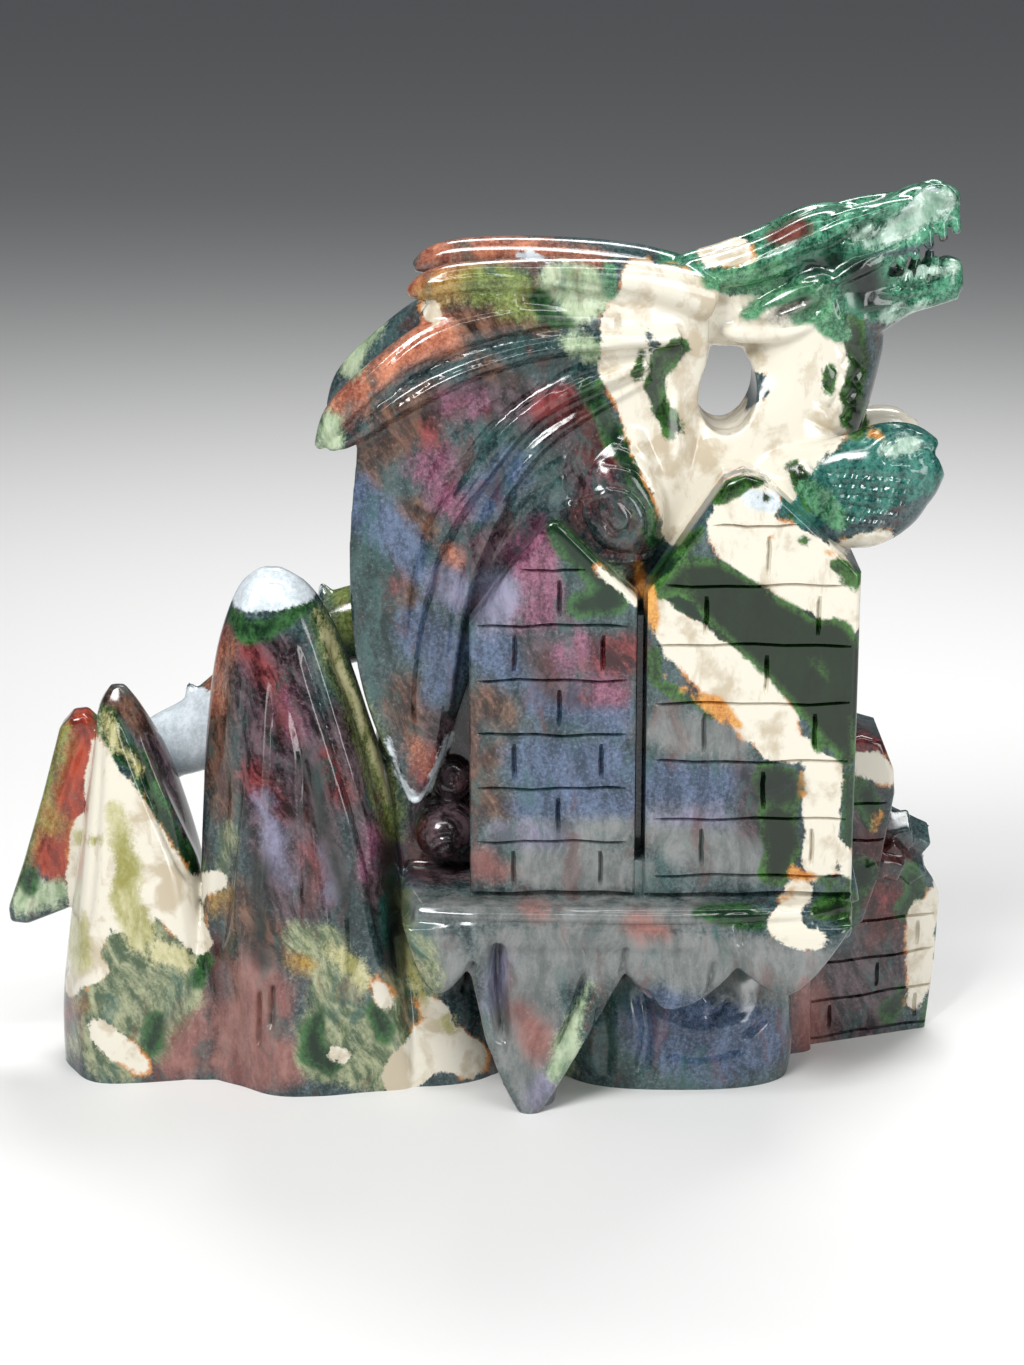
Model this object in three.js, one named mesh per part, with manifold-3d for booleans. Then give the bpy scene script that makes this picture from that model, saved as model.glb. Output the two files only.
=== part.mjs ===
// A dragon and castle carved from one block of jasper.
// The frame has +Z up, +X along the length with the dragon's head at the +X end, and the castle front faces -Y.
// All sizes are millimetres.

import * as THREE from "three";
import { mergeVertices } from "three/addons/utils/BufferGeometryUtils.js";
import Module from "manifold-3d";

const wasm = await Module();
wasm.setup();

// Driving dimensions of the dragon
const DRAGON_HEIGHT = 292;
const DRAWN_HEIGHT = 292;
const BODY_MIDDLE = 4;
const WING_HALF_THICKNESS = 4.5;
const TOOTH_LENGTH = 4.6;
const TOOTH_RADIUS = 1.7;
const EYE_RADIUS = 3.2;
const OPENING_WIDTH = 18.5;
const OPENING_HEIGHT = 26.5;
const SPIKE_HEIGHT = 8;
const SPIKE_RADIUS = 4.2;

// Driving dimensions of the mountains
const BIG_PEAK_HEIGHT = 170;
const BIG_PEAK_WIDTH = 74;
const SMALL_PEAK_HEIGHT = 129.5;
const SMALL_PEAK_WIDTH = 52;
const LEAF_THICKNESS = 13;
const LEAF_BEVEL = 2.5;

// Driving dimensions of the castle
const LEDGE_TOP = 70;
const LEDGE_THICKNESS = 15;
const LEDGE_REACH = 12;
const TOWER_FRONT = -39;
const TOWER_DEPTH = 36;
const TOWER_BEVEL = 2.2;
const SLOT_WIDTH = 3.4;
const SLOT_DEPTH = 13;
const GROOVE_WIDTH = 1.1;
const GROOVE_DEPTH = 1.5;
const GROOVE_MARGIN = 2.6;
const JOINT_SHARE = 0.66;
const LEFT_TOWER = { left: -4.6, right: 48.4, eaves: 159.5, farEaves: 167, ridge: 193, ridgeAt: 21.6 };
const RIGHT_TOWER = { left: 50.2, right: 117, eaves: 169, farEaves: 176.5, ridge: 207.5, ridgeAt: 80.5 };
const WALL_LENGTH = 54.5;
const WALL_HEIGHT = 56;
const WALL_THICKNESS = 30;
const WALL_TURN = 20.5;
const BACK_TOWER = { left: 100, right: 135.7, front: 2, depth: 30, eaves: 99, ridge: 109 };

// Fineness of the round forms
const BODY_SIDES = 10;
const LIMB_SIDES = 8;
const RIDGE_SIDES = 6;
const PLAIN_SIDES = 5;
const ROCK_SIDES = 14;

// Rows of numbers eased through a smooth curve, so a few rows describe a long form.
function eased(rows, steps) {
  const last = rows.length - 1;
  return Array.from({ length: steps + 1 }, (_, i) => {
    const at = (i / steps) * last;
    const k = Math.min(Math.floor(at), last - 1);
    const t = at - k;
    const [a, b, c, d] = [k - 1, k, k + 1, k + 2].map((j) => rows[Math.min(Math.max(j, 0), last)]);
    return b.map((_, n) => {
      const slope = c[n] - a[n];
      const bend = 2 * a[n] - 5 * b[n] + 4 * c[n] - d[n];
      const twist = 3 * b[n] - a[n] - 3 * c[n] + d[n];
      return 0.5 * (2 * b[n] + slope * t + bend * t * t + twist * t ** 3);
    });
  });
}

// Cosine and sine of a superellipse: power 2 is round, and higher powers are squarer.
function rounded(angle, power) {
  const shape = (v) => Math.sign(v) * Math.abs(v) ** (2 / power);
  return [shape(Math.cos(angle)), shape(Math.sin(angle))];
}

// A closed solid from a geometry whose surface closes on itself.
function solid(geometry) {
  const bare = geometry.clone();
  bare.deleteAttribute("normal");
  bare.deleteAttribute("uv");
  const welded = mergeVertices(bare, 1e-4);
  const vertProperties = welded.attributes.position.array;
  const triVerts = new Uint32Array(welded.index.array);
  return new wasm.Manifold(new wasm.Mesh({ numProp: 3, vertProperties, triVerts }));
}

// A skin over a row of rings, closed at both ends by a fan.
function skin(rings) {
  const sides = rings[0].length;
  const middle = (ring) => ring.reduce((sum, p) => sum.add(p), new THREE.Vector3()).divideScalar(sides);
  const points = [...rings.flat(), middle(rings[0]), middle(rings.at(-1))];
  const start = rings.length * sides;
  const faces = [];
  for (let s = 0; s < sides; s++) {
    const next = (s + 1) % sides;
    for (let r = 0; r + 1 < rings.length; r++) {
      const a = r * sides + s;
      const b = r * sides + next;
      faces.push(a, b, b + sides, a, b + sides, a + sides);
    }
    faces.push(start, next, s);
    faces.push(start + 1, start - sides + s, start - sides + next);
  }
  const geometry = new THREE.BufferGeometry().setFromPoints(points);
  geometry.setIndex(faces);
  return solid(geometry);
}

// A limb: rows of centre x, y, z, half height in the plane of the bend, and half depth along y.
function limb(rows, steps, sides = LIMB_SIDES, power = 2.2) {
  const path = eased(rows, steps);
  const centres = path.map(([x, y, z]) => new THREE.Vector3(x, y, z));
  const rings = path.map((row, i) => {
    const before = centres[Math.max(i - 1, 0)];
    const after = centres[Math.min(i + 1, steps)];
    const along = after.clone().sub(before).normalize();
    const side = new THREE.Vector3(0, 1, 0).addScaledVector(along, -along.y).normalize();
    const up = along.clone().cross(side);
    return Array.from({ length: sides }, (_, s) => {
      const [across, upward] = rounded((2 * Math.PI * (s + 0.5)) / sides, power);
      return centres[i].clone().addScaledVector(side, across * row[4]).addScaledVector(up, upward * row[3]);
    });
  });
  return skin(rings);
}

// A rock: rows of height, left, right, front and back, from the bottom up, with shallow flutes round it.
function rock(rows, steps, { sides = ROCK_SIDES, power = 2.6, flutes = 0, depth = 0, turn = 0 } = {}) {
  const rings = eased(rows, steps).map(([z, left, right, front, back]) => {
    const halfWide = (right - left) / 2;
    const halfDeep = (back - front) / 2;
    return Array.from({ length: sides }, (_, s) => {
      const angle = (2 * Math.PI * s) / sides;
      const [across, deep] = rounded(angle, power);
      const flute = 1 - depth * (0.5 + 0.5 * Math.cos(flutes * angle + turn + z / 60));
      return new THREE.Vector3(
        left + halfWide * (1 + across * flute),
        front + halfDeep * (1 + deep * flute),
        z,
      );
    });
  });
  return skin(rings);
}

// A mountain's rows are shares: height of its height, left and right of its width from its axis, and the front and back depths.
function mountain(rows, steps, { height, width, axis }, options) {
  const fitted = rows.map(([z, left, right, front, back]) => [
    z * height,
    axis + left * width,
    axis + right * width,
    front,
    back,
  ]);
  return rock(fitted, steps, options);
}

// A slab cut to an outline in the x-z plane, from a front depth back, with bevelled edges.
function slab(outline, front, depth, bevel) {
  const shape = new THREE.Shape(outline.map(([x, z]) => new THREE.Vector2(x, z)));
  const geometry = new THREE.ExtrudeGeometry(shape, {
    depth: depth - 2 * bevel,
    bevelEnabled: bevel > 0,
    bevelThickness: bevel,
    bevelSize: bevel,
    bevelOffset: -bevel,
    bevelSegments: 1,
  });
  geometry.rotateX(Math.PI / 2);
  return solid(geometry).translate([0, front + depth - bevel, 0]);
}

// A straight box-shaped cut or block between two corners.
function block([x0, y0, z0], [x1, y1, z1]) {
  const geometry = new THREE.BoxGeometry(x1 - x0, y1 - y0, z1 - z0);
  geometry.translate((x0 + x1) / 2, (y0 + y1) / 2, (z0 + z1) / 2);
  return solid(geometry);
}

function joined(solids) {
  return solids.reduce((all, one) => all.add(one));
}

// A mirror image across the middle plane of the dragon's body.
function mirrored(one) {
  return one.scale([1, -1, 1]).translate([0, 2 * BODY_MIDDLE, 0]);
}

function bothSides(one) {
  return one.add(mirrored(one));
}

// A cone from its base point towards a direction, used for teeth, claws and spikes.
function cone([x, y, z], [dx, dy, dz], length, radius, sides = 6) {
  const geometry = new THREE.ConeGeometry(radius, length, sides);
  geometry.translate(0, length / 2, 0);
  const turn = new THREE.Quaternion().setFromUnitVectors(
    new THREE.Vector3(0, 1, 0),
    new THREE.Vector3(dx, dy, dz).normalize(),
  );
  geometry.applyQuaternion(turn);
  geometry.translate(x, y, z);
  return solid(geometry);
}

// Neck, chest and belly rise behind the castle in one S-shaped sweep.
function torso() {
  const rows = [
    [48, 10, 34, 52, 25],
    [48, 10, 70, 54, 26],
    [52, 9, 112, 48, 25],
    [60, 7, 150, 43, 25],
    [74, 5, 184, 37, 23],
    [89, 4, 207, 30, 19],
    [101.5, 4, 226, 21.5, 15.5],
    [104.5, 4, 243, 22, 13.5],
    [106, 4, 257, 19, 13.5],
    [106, 4, 267, 13, 11],
  ];
  return limb(rows, 10, BODY_SIDES);
}

function shoulder() {
  const rows = [
    [44, 4, 160, 24, 24],
    [51, 4, 200, 23, 23],
    [55, 4, 228, 15.5, 20],
    [58, 4, 248, 14, 18],
    [61, 4, 264, 8, 13],
  ];
  return limb(rows, 5, LIMB_SIDES);
}

// The back of the neck closes the space over the round opening, up to the horns.
function nape() {
  const rows = [
    [112, 4, 262, 10, 10],
    [98, 4, 259, 14, 11],
    [86, 4, 256.5, 15.5, 10.5],
    [75, 4, 255.5, 15.5, 11],
    [64, 4, 257, 10, 13],
  ];
  return limb(rows, 5, LIMB_SIDES);
}

// The round opening goes right through between the neck and the shoulder.
function opening() {
  const outline = new THREE.EllipseCurve(76.5, 227.5, OPENING_WIDTH / 2, OPENING_HEIGHT / 2, 0, 2 * Math.PI, false, -0.1);
  const points = outline.getPoints(12).slice(0, -1).map((p) => [p.x, p.y]);
  return slab(points, -60, 120, 0);
}

// The wing's thin sheet: rows of height, left edge, right edge and the depth of each edge.
function wingSheet(steps, sides) {
  const rows = [
    [96, -24.5, -20.5, -19, -19],
    [108, -29, -14.5, -22, -20],
    [124, -35.5, -9, -24, -20],
    [142, -40, -2, -25, -18],
    [162, -42, 14, -25, -16],
    [184, -42, 40, -25, -14],
    [206, -40, 60, -25, -12],
    [222, -38, 67, -25, -10],
    [238, -29, 70, -24.5, -9],
    [252, -19, 70, -23.5, -8],
    [262, -15, 66, -22, -8],
    [268, -6, 52, -20, -12],
  ];
  const bulge = 0.055;
  const rings = eased(rows, steps).map(([z, left, right, leftDepth, rightDepth]) => {
    const half = (right - left) / 2;
    return Array.from({ length: sides }, (_, s) => {
      const [across, deep] = rounded((2 * Math.PI * s) / sides, 2.6);
      const bow = bulge * half * (1 - across * across);
      const depth = leftDepth + ((rightDepth - leftDepth) * (1 + across)) / 2;
      return new THREE.Vector3(left + half * (1 + across), depth - bow + deep * WING_HALF_THICKNESS, z);
    });
  });
  return skin(rings);
}

// Raised bones that fan out over the sheet.
function wingBones() {
  const arm = [
    [70, -6, 257, 8, 9],
    [48, -13, 263.5, 6.5, 7.5],
    [20, -19.5, 266, 5.5, 7],
    [-6, -23, 265.5, 5, 6.5],
    [-17, -23.5, 263, 4.5, 5.5],
    [-23, -23, 261, 1.6, 2.4],
  ];
  const thumb = [
    [10, -20, 258, 4.5, 6.5],
    [-10, -23, 257, 4.5, 5.5],
    [-19.5, -24, 252.6, 1.4, 2],
  ];
  const outerFinger = [
    [40, -15, 251, 5, 6],
    [8, -22, 252, 6.5, 6.5],
    [-15, -25.5, 246.5, 6.5, 6.5],
    [-33, -27.5, 234, 6, 6],
    [-45, -28, 223.5, 4.6, 5],
    [-51.3, -28, 213.6, 1.4, 2],
  ];
  const innerFinger = [
    [60, -14, 246, 3, 6],
    [24, -22.5, 245, 3.4, 6],
    [-2, -26, 239, 3.8, 6],
    [-26, -28, 227.5, 3.8, 5.5],
    [-41, -28, 217, 2.8, 4.5],
    [-48, -28, 213.6, 1.2, 2],
  ];
  const middleFinger = [
    [50, -15.5, 238, 2.6, 5.5],
    [18, -23, 226, 3.4, 5.5],
    [-1.5, -26, 206, 3.8, 5.5],
    [-14.5, -26.5, 185, 3.6, 5.2],
    [-22, -26, 156, 3, 4.6],
    [-24.5, -24, 124, 2.4, 4.2],
    [-22.5, -20.5, 99, 1, 3],
  ];
  const lastFinger = [
    [50, -14, 233, 2.4, 5],
    [18, -21.5, 214, 2.8, 5.2],
    [2, -24, 189, 2.8, 5.2],
    [-7, -24, 162, 2.4, 4.6],
    [-11.5, -22, 128, 1.4, 3.6],
  ];
  return { arm, thumb, outerFinger, innerFinger, middleFinger, lastFinger };
}

// The far wing mirrors the near one, worked more plainly.
function wings() {
  const { arm, thumb, outerFinger, innerFinger, middleFinger, lastFinger } = wingBones();
  const nearBones = [arm, thumb, outerFinger, innerFinger, middleFinger, lastFinger];
  const farBones = [arm, outerFinger, middleFinger, lastFinger];
  const near = [wingSheet(10, 14), ...nearBones.map((rows) => limb(rows, rows.length - 1, RIDGE_SIDES))];
  const far = [wingSheet(5, 10), ...farBones.map((rows) => limb(rows, rows.length - 2, PLAIN_SIDES))];
  return joined(near).add(mirrored(joined(far)));
}

// Skull and jaws, open to the +X side, with rows of teeth.
function head() {
  const skull = [
    [97, 4, 261, 15, 11],
    [109, 4, 268, 15.5, 13.5],
    [120, 4, 271, 13.5, 12.5],
    [130, 4, 275.5, 12, 10],
    [138.5, 4, 280.3, 11.4, 9],
    [145, 4, 283, 8.6, 8],
    [148.4, 4, 283, 4.4, 5],
  ];
  const lowerJaw = [
    [108, 4, 251, 11, 11],
    [121, 4, 253, 9.5, 10.5],
    [132, 4, 256.3, 6.4, 8.5],
    [140.5, 4, 258.6, 6, 7.8],
    [147, 4, 261.8, 7, 7],
    [150.4, 4, 262.3, 4.2, 5],
  ];
  const cheekSpike = [
    [130, -4.5, 273, 2.6, 3],
    [121, -7.5, 269, 3.2, 3.4],
    [112, -9.4, 264.5, 2.6, 3],
    [105.5, -10.4, 261, 0.8, 1],
  ];
  const brow = [
    [134, -2.6, 284.6, 2, 3],
    [125, -5.6, 281.2, 3, 4],
    [113, -8, 280.5, 3.4, 4],
    [99, -7, 275, 3.4, 3.6],
  ];
  const nostril = [
    [137, -1, 289, 2, 3],
    [142, -2.6, 289, 3, 3.6],
    [146, -2.2, 286.5, 2, 2.6],
  ];
  const eye = new THREE.IcosahedronGeometry(1);
  eye.scale(EYE_RADIUS, EYE_RADIUS * 0.6, EYE_RADIUS * 0.62);
  eye.rotateY(-0.5);
  eye.translate(120, -8.6, 275.2);
  const halves = joined([
    limb(cheekSpike, 3, PLAIN_SIDES),
    limb(brow, 4, PLAIN_SIDES),
    limb(nostril, 3, PLAIN_SIDES),
    solid(eye),
    teeth(),
  ]);
  return joined([limb(skull, 6, 9, 2.8), limb(lowerJaw, 5, 8, 2.8), bothSides(halves)]);
}

// Teeth stand in evenly spaced rows along the two lips.
function teeth() {
  const upperLip = [
    [134, -1.5, 267.5],
    [139.5, -1.8, 271.5],
    [144.5, -1.4, 276],
    [147, 0, 278.5],
  ];
  const lowerLip = [
    [133.5, -1.5, 261],
    [139.5, -1.2, 263],
    [145.5, -1, 266],
  ];
  const upper = eased(upperLip, 4).map((at) => cone(at, [0.3, -0.1, -1], TOOTH_LENGTH, TOOTH_RADIUS, 4));
  const lower = eased(lowerLip, 2).map((at) => cone(at, [-0.1, -0.1, 1], TOOTH_LENGTH * 0.9, TOOTH_RADIUS, 4));
  return joined([...upper, ...lower]);
}

// Horn and two frill lobes sweep back from the head, and the horn lies on the shoulder.
function horns() {
  const horn = [
    [117, -2, 279, 5.5, 5],
    [104, -5, 276.5, 7, 6],
    [90, -6, 270, 6.8, 6],
    [76, -5.5, 265.5, 6, 6],
    [64, -4, 264, 4.2, 5],
    [60, -3, 262, 2, 3],
  ];
  const ear = [
    [112, -6, 264.5, 5, 4],
    [100, -8.4, 258.5, 5.6, 4.6],
    [88, -8.4, 253, 4.4, 4],
    [80, -7.4, 250.3, 1.6, 2],
  ];
  const frill = [
    [106, -6, 253, 5, 4],
    [94, -7.6, 247.5, 4.4, 4],
    [80, -6.4, 246, 3.2, 3.4],
    [75, -5, 246.5, 1.4, 2],
  ];
  const sweep = (rows, steps) => limb(rows, steps, RIDGE_SIDES);
  return bothSides(joined([sweep(horn, 5), sweep(ear, 3), sweep(frill, 3)]));
}

// Forearm folded up to a closed fist, beside the chest.
function arm() {
  const palm = [
    [84, -5, 201, 12, 10],
    [98, -13, 197.5, 14.5, 10],
    [111, -17, 198, 16.5, 10.5],
    [124, -19, 201.5, 16, 11],
    [134, -19.5, 205.5, 12.5, 10],
    [141, -19, 209, 6.5, 7],
  ];
  const elbow = [
    [108, -17, 188, 7, 8],
    [119, -19.5, 189.5, 9.5, 9.5],
    [129, -20, 195, 9, 9.5],
    [137, -20, 203, 6, 7],
  ];
  const fingers = [
    [99, -12, 203, 3.6, 6],
    [111, -16.5, 209, 4.2, 6.5],
    [123, -19, 214.5, 4.6, 7],
    [133, -19.5, 214.8, 4.6, 6.5],
    [140, -19.5, 211, 3.8, 5.4],
  ];
  return joined([limb(palm, 5), limb(elbow, 3), limb(fingers, 4, PLAIN_SIDES)]);
}

function arms() {
  const lower = 3.5;
  const near = arm();
  return near.add(mirrored(near).translate([0, 0, -lower]));
}

function haunches() {
  const thigh = [
    [46, -14, 216, 5, 6],
    [43, -17, 203, 13, 9],
    [41, -19, 188, 16, 10],
    [38, -17, 172, 11, 8],
  ];
  return bothSides(limb(thigh, 4));
}

// On the back the hind leg comes down to a foot on the rock.
function hindLeg() {
  const upper = [
    [72, 26, 160, 10, 8],
    [66, 31, 140, 18, 11],
    [58, 33, 122, 15, 10],
    [52, 33, 108, 7, 7],
  ];
  const shin = [
    [50, 32, 128, 6, 6],
    [62, 36, 112, 7.5, 7],
    [74, 37, 96, 7, 6.5],
    [86, 38, 86, 5, 5],
    [94, 38, 83, 2.4, 3],
  ];
  return joined([limb(upper, 4), limb(shin, 5, RIDGE_SIDES)]);
}

// The tail runs back behind the big mountain, arches over the gap and comes down to its leaf.
function tail() {
  const rows = [
    [44, 18, 112, 26, 13],
    [8, 23, 134, 20, 12],
    [-24, 26, 143, 15, 11],
    [-50, 28, 140.5, 12.5, 10.5],
    [-74, 29, 123, 12.5, 10],
    [-94, 28, 106, 12.6, 10],
    [-110, 27, 98, 11, 9],
    [-121, 25, 82, 9.5, 8],
    [-128, 21, 64, 8, 7],
    [-134, 16, 54, 5, 5],
  ];
  return limb(rows, 11);
}

function tailSpikes() {
  const places = [
    [-97, 28, 114.5],
    [-74, 29, 132],
    [-52, 28, 149],
    [-29, 26.5, 154.5],
    [-6, 24.5, 151],
  ];
  return joined(places.map((at) => cone(at, [-0.35, 0, 1], SPIKE_HEIGHT, SPIKE_RADIUS)));
}

function leaf() {
  const outline = [
    [-132, 117],
    [-136.5, 116.4],
    [-140.5, 112],
    [-147, 89],
    [-154.5, 65],
    [-160.2, 49],
    [-159.6, 44.2],
    [-154, 43.4],
    [-140, 49],
    [-122, 56],
    [-119, 74],
    [-127, 112],
  ];
  return slab(outline, 6, LEAF_THICKNESS, LEAF_BEVEL);
}

function dragon() {
  const whole = joined([
    torso(),
    shoulder(),
    nape(),
    wings(),
    head(),
    horns(),
    arms(),
    haunches(),
    hindLeg(),
    tail(),
    tailSpikes(),
    leaf(),
  ]);
  const grow = DRAGON_HEIGHT / DRAWN_HEIGHT;
  return whole.subtract(opening()).scale([grow, grow, grow]);
}

// A long shallow cut that follows the rock face.
function furrow(rows, steps) {
  return limb(rows, steps, 4, 2);
}

function mountains() {
  const bigRows = [
    [-0.024, -0.473, 0.595, -37, 26],
    [0.176, -0.476, 0.514, -37, 25],
    [0.371, -0.478, 0.426, -34, 22],
    [0.565, -0.457, 0.365, -30, 18],
    [0.706, -0.432, 0.277, -26, 14],
    [0.829, -0.392, 0.189, -21.5, 10],
    [0.918, -0.332, 0.103, -17, 6],
    [0.971, -0.27, 0.014, -12.5, 2],
    [1, -0.189, -0.095, -8, -3],
  ];
  const smallRows = [
    [-0.031, -0.473, 0.558, -27, 26],
    [0.154, -0.477, 0.548, -26, 25],
    [0.347, -0.427, 0.527, -23, 22],
    [0.541, -0.356, 0.446, -19, 19],
    [0.71, -0.288, 0.335, -15, 16],
    [0.834, -0.235, 0.231, -11, 12],
    [0.942, -0.183, 0.092, -7, 7],
    [1, -0.096, 0, -3, 1],
  ];
  const bigSize = { height: BIG_PEAK_HEIGHT, width: BIG_PEAK_WIDTH, axis: -58 };
  const smallSize = { height: SMALL_PEAK_HEIGHT, width: SMALL_PEAK_WIDTH, axis: -117 };
  const big = mountain(bigRows, 8, bigSize, { sides: 16, flutes: 6, depth: 0.09, turn: 1.2, power: 2.5 });
  const small = mountain(smallRows, 7, smallSize, { flutes: 5, depth: 0.08, turn: 0.4, power: 2.5 });
  const crease = [
    [-57, -24, 141, 0.8, 2],
    [-52, -29, 110, 2, 3.5],
    [-44, -34, 70, 3, 4.5],
    [-36, -36, 30, 2, 4],
    [-33, -37, 18, 0.8, 2],
  ];
  const slit = [
    [-73, -38, 44, 0.6, 2],
    [-73.5, -38, 26, 1.6, 3.5],
    [-73, -38, 8, 0.6, 2],
  ];
  const spur = [
    [-4, -62, 6, -29, 20],
    [16, -58, 4, -26, 20],
    [34, -52, 0, -20, 20],
    [47, -46, -8, -12, 18],
  ];
  const saddle = [
    [-4, -114, -72, -23, 24],
    [30, -111, -76, -20, 22],
    [50, -106, -82, -14, 17],
    [59, -100, -88, -6, 10],
  ];
  return big
    .add(small)
    .add(rock(saddle, 4, { sides: 10 }))
    .add(rock(spur, 5, { sides: 12 }))
    .subtract(furrow(crease, 4))
    .subtract(furrow(slit, 2));
}

// The rock under the castle: a core behind, a boulder under the right end and hanging spurs in front.
function footRock() {
  const core = [
    [-4, -64, 112, -8, 42],
    [30, -62, 112, -8, 41],
    [62, -56, 110, -8, 38],
    [84, -46, 104, -8, 36],
    [104, -30, 92, -6, 32],
  ];
  const boulder = [
    [-4, 26, 100, -30, 12],
    [12, 24, 102, -33, 12],
    [34, 26, 101, -30, 12],
    [54, 30, 100, -22, 12],
    [64, 34, 98, -18, 12],
  ];
  const middleSpur = [
    [-4, 11, 22, -44, -26],
    [8, 7, 25, -46, -22],
    [22, 4, 29, -47, -16],
    [42, 1, 36, -47, -8],
    [62, -4, 42, -47, -4],
  ];
  const firstCut = [
    [7, -51, 46, 0.6, 2.4],
    [8.5, -51.5, 30, 2, 4.5],
    [9.5, -50, 14, 0.6, 2],
  ];
  const secondCut = [
    [34, -50, 38, 0.6, 2.4],
    [29.5, -51.5, 22, 2, 4.5],
    [24.5, -49.5, 5, 0.6, 2],
  ];
  const backWall = [
    [60, -44, 44, -7, 30],
    [100, -38, 40, -6, 30],
    [135, -30, 36, -5, 28],
    [156, -14, 30, 0, 24],
  ];
  const creases = [
    [[46.5, -50, 64, 0.6, 2], [45.4, -50, 56, 1.6, 4], [44.8, -49, 46, 2.4, 5]],
    [[82, -49.5, 66, 0.6, 2], [81.4, -49.5, 58, 1.8, 4], [80.5, -48, 47, 2.4, 5]],
    [[-7, -49, 60, 0.6, 2], [-7.4, -48.5, 52, 1.6, 4], [-8, -47, 46, 2.2, 5]],
  ];
  return joined([
    rock(core, 4, { power: 4, flutes: 9, depth: 0.04 }),
    rock(backWall, 3, { sides: 10 }),
    rock(boulder, 4, { sides: 12 }),
    rock(middleSpur, 4, { sides: 8, power: 2.4 }),
    apron(),
  ])
    .subtract(joined(creases.map((rows) => furrow(rows, 2))))
    .subtract(furrow(firstCut, 2))
    .subtract(furrow(secondCut, 2));
}

// The rock face under the ledge hangs in lobes, and one of them reaches the ground.
// Each lobe: left end, tip and right end as x and height, and how round its left and right flanks are.
function apron() {
  const front = TOWER_FRONT - LEDGE_REACH + 0.5;
  const root = LEDGE_TOP - 6;
  const lobes = [
    { left: [-26, root], tip: [-14.5, 40.5], right: [-5, 49.5], round: [2, 1.8] },
    { left: [-5, 49.5], tip: [15.5, -4], right: [44.7, 47.7], round: [1.8, 1.1] },
    { left: [44.7, 47.7], tip: [59, 35], right: [80.5, 49.5], round: [1.5, 1.9] },
    { left: [80.5, 49.5], tip: [96, 39.6], right: [117, root], round: [1.5, 1.6] },
  ];
  const flank = ([x0, z0], [x1, z1], power, shares) =>
    shares.map((share) => [x0 + (x1 - x0) * share, z0 + (z1 - z0) * share ** power]);
  const contour = lobes.flatMap(({ left, tip, right, round }) => [
    ...flank(tip, left, round[0], [1, 0.7, 0.3]),
    ...flank(tip, right, round[1], [0.05, 0.35, 0.7]),
  ]);
  return slab([...contour, lobes.at(-1).right], front, 15, 3.2);
}

// The shelf that the castle stands on reaches out past the tower fronts.
function ledge() {
  const front = TOWER_FRONT - LEDGE_REACH;
  const outline = [
    [-26, -2],
    [-27, front + 22],
    [-22, front + 4],
    [-4, front],
    [60, front - 0.5],
    [104, front + 2],
    [117.5, front + 12],
    [118.5, front + 26],
    [116, -2],
  ];
  const shape = new THREE.Shape(outline.map(([x, y]) => new THREE.Vector2(x, y)));
  const edge = 3;
  const geometry = new THREE.ExtrudeGeometry(shape, {
    depth: LEDGE_THICKNESS - 2 * edge,
    bevelThickness: edge,
    bevelSize: edge,
    bevelOffset: -edge,
    bevelSegments: 2,
  });
  return solid(geometry).translate([0, 0, LEDGE_TOP - LEDGE_THICKNESS + edge]);
}

function towerOutline({ left, right, eaves, farEaves, ridge, ridgeAt }, blunt) {
  return [
    [left, LEDGE_TOP - 3],
    [right, LEDGE_TOP - 3],
    [right, farEaves],
    [ridgeAt + blunt, ridge - blunt * 0.35],
    [ridgeAt, ridge],
    [ridgeAt - blunt, ridge - blunt * 0.35],
    [left, eaves],
  ];
}

// One groove in a wall whose face stands at a given depth.
function groove([x0, z0], [x1, z1], face) {
  const half = GROOVE_WIDTH / 2;
  const reach = (a, b) => (a === b ? [a - half, b + half] : [a, b]);
  const [left, right] = reach(x0, x1);
  const [bottom, top] = reach(z0, z1);
  return block([left, face - 1, bottom], [right, face + GROOVE_DEPTH, top]);
}

// Courses of stone: level grooves, with upright joints that stagger from row to row.
function brickwork({ courses, left, right, single, pair, face, first = 0 }) {
  const wide = right - left;
  const inset = (z) => (z > courses.eaves ? (z - courses.eaves) * courses.slope : 0);
  const level = courses.heights.map((z) => {
    const cut = GROOVE_MARGIN + inset(z);
    return groove([left + cut, z], [right - cut, z], face);
  });
  const upright = courses.heights.slice(0, -1).flatMap((top, row) => {
    const bottom = courses.heights[row + 1];
    const gap = ((top - bottom) * (1 - JOINT_SHARE)) / 2;
    const places = (row + first) % 2 === 0 ? single : pair;
    return places.map((share) => {
      const x = left + share * wide;
      return groove([x, bottom + gap], [x, top - gap], face);
    });
  });
  return joined([...level, ...upright]);
}

// Heights of the courses of a tower, from the short one in its gable down to the ledge.
function courseHeights(count, eaves, step) {
  return Array.from({ length: count }, (_, i) => eaves + step - i * step);
}

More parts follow.
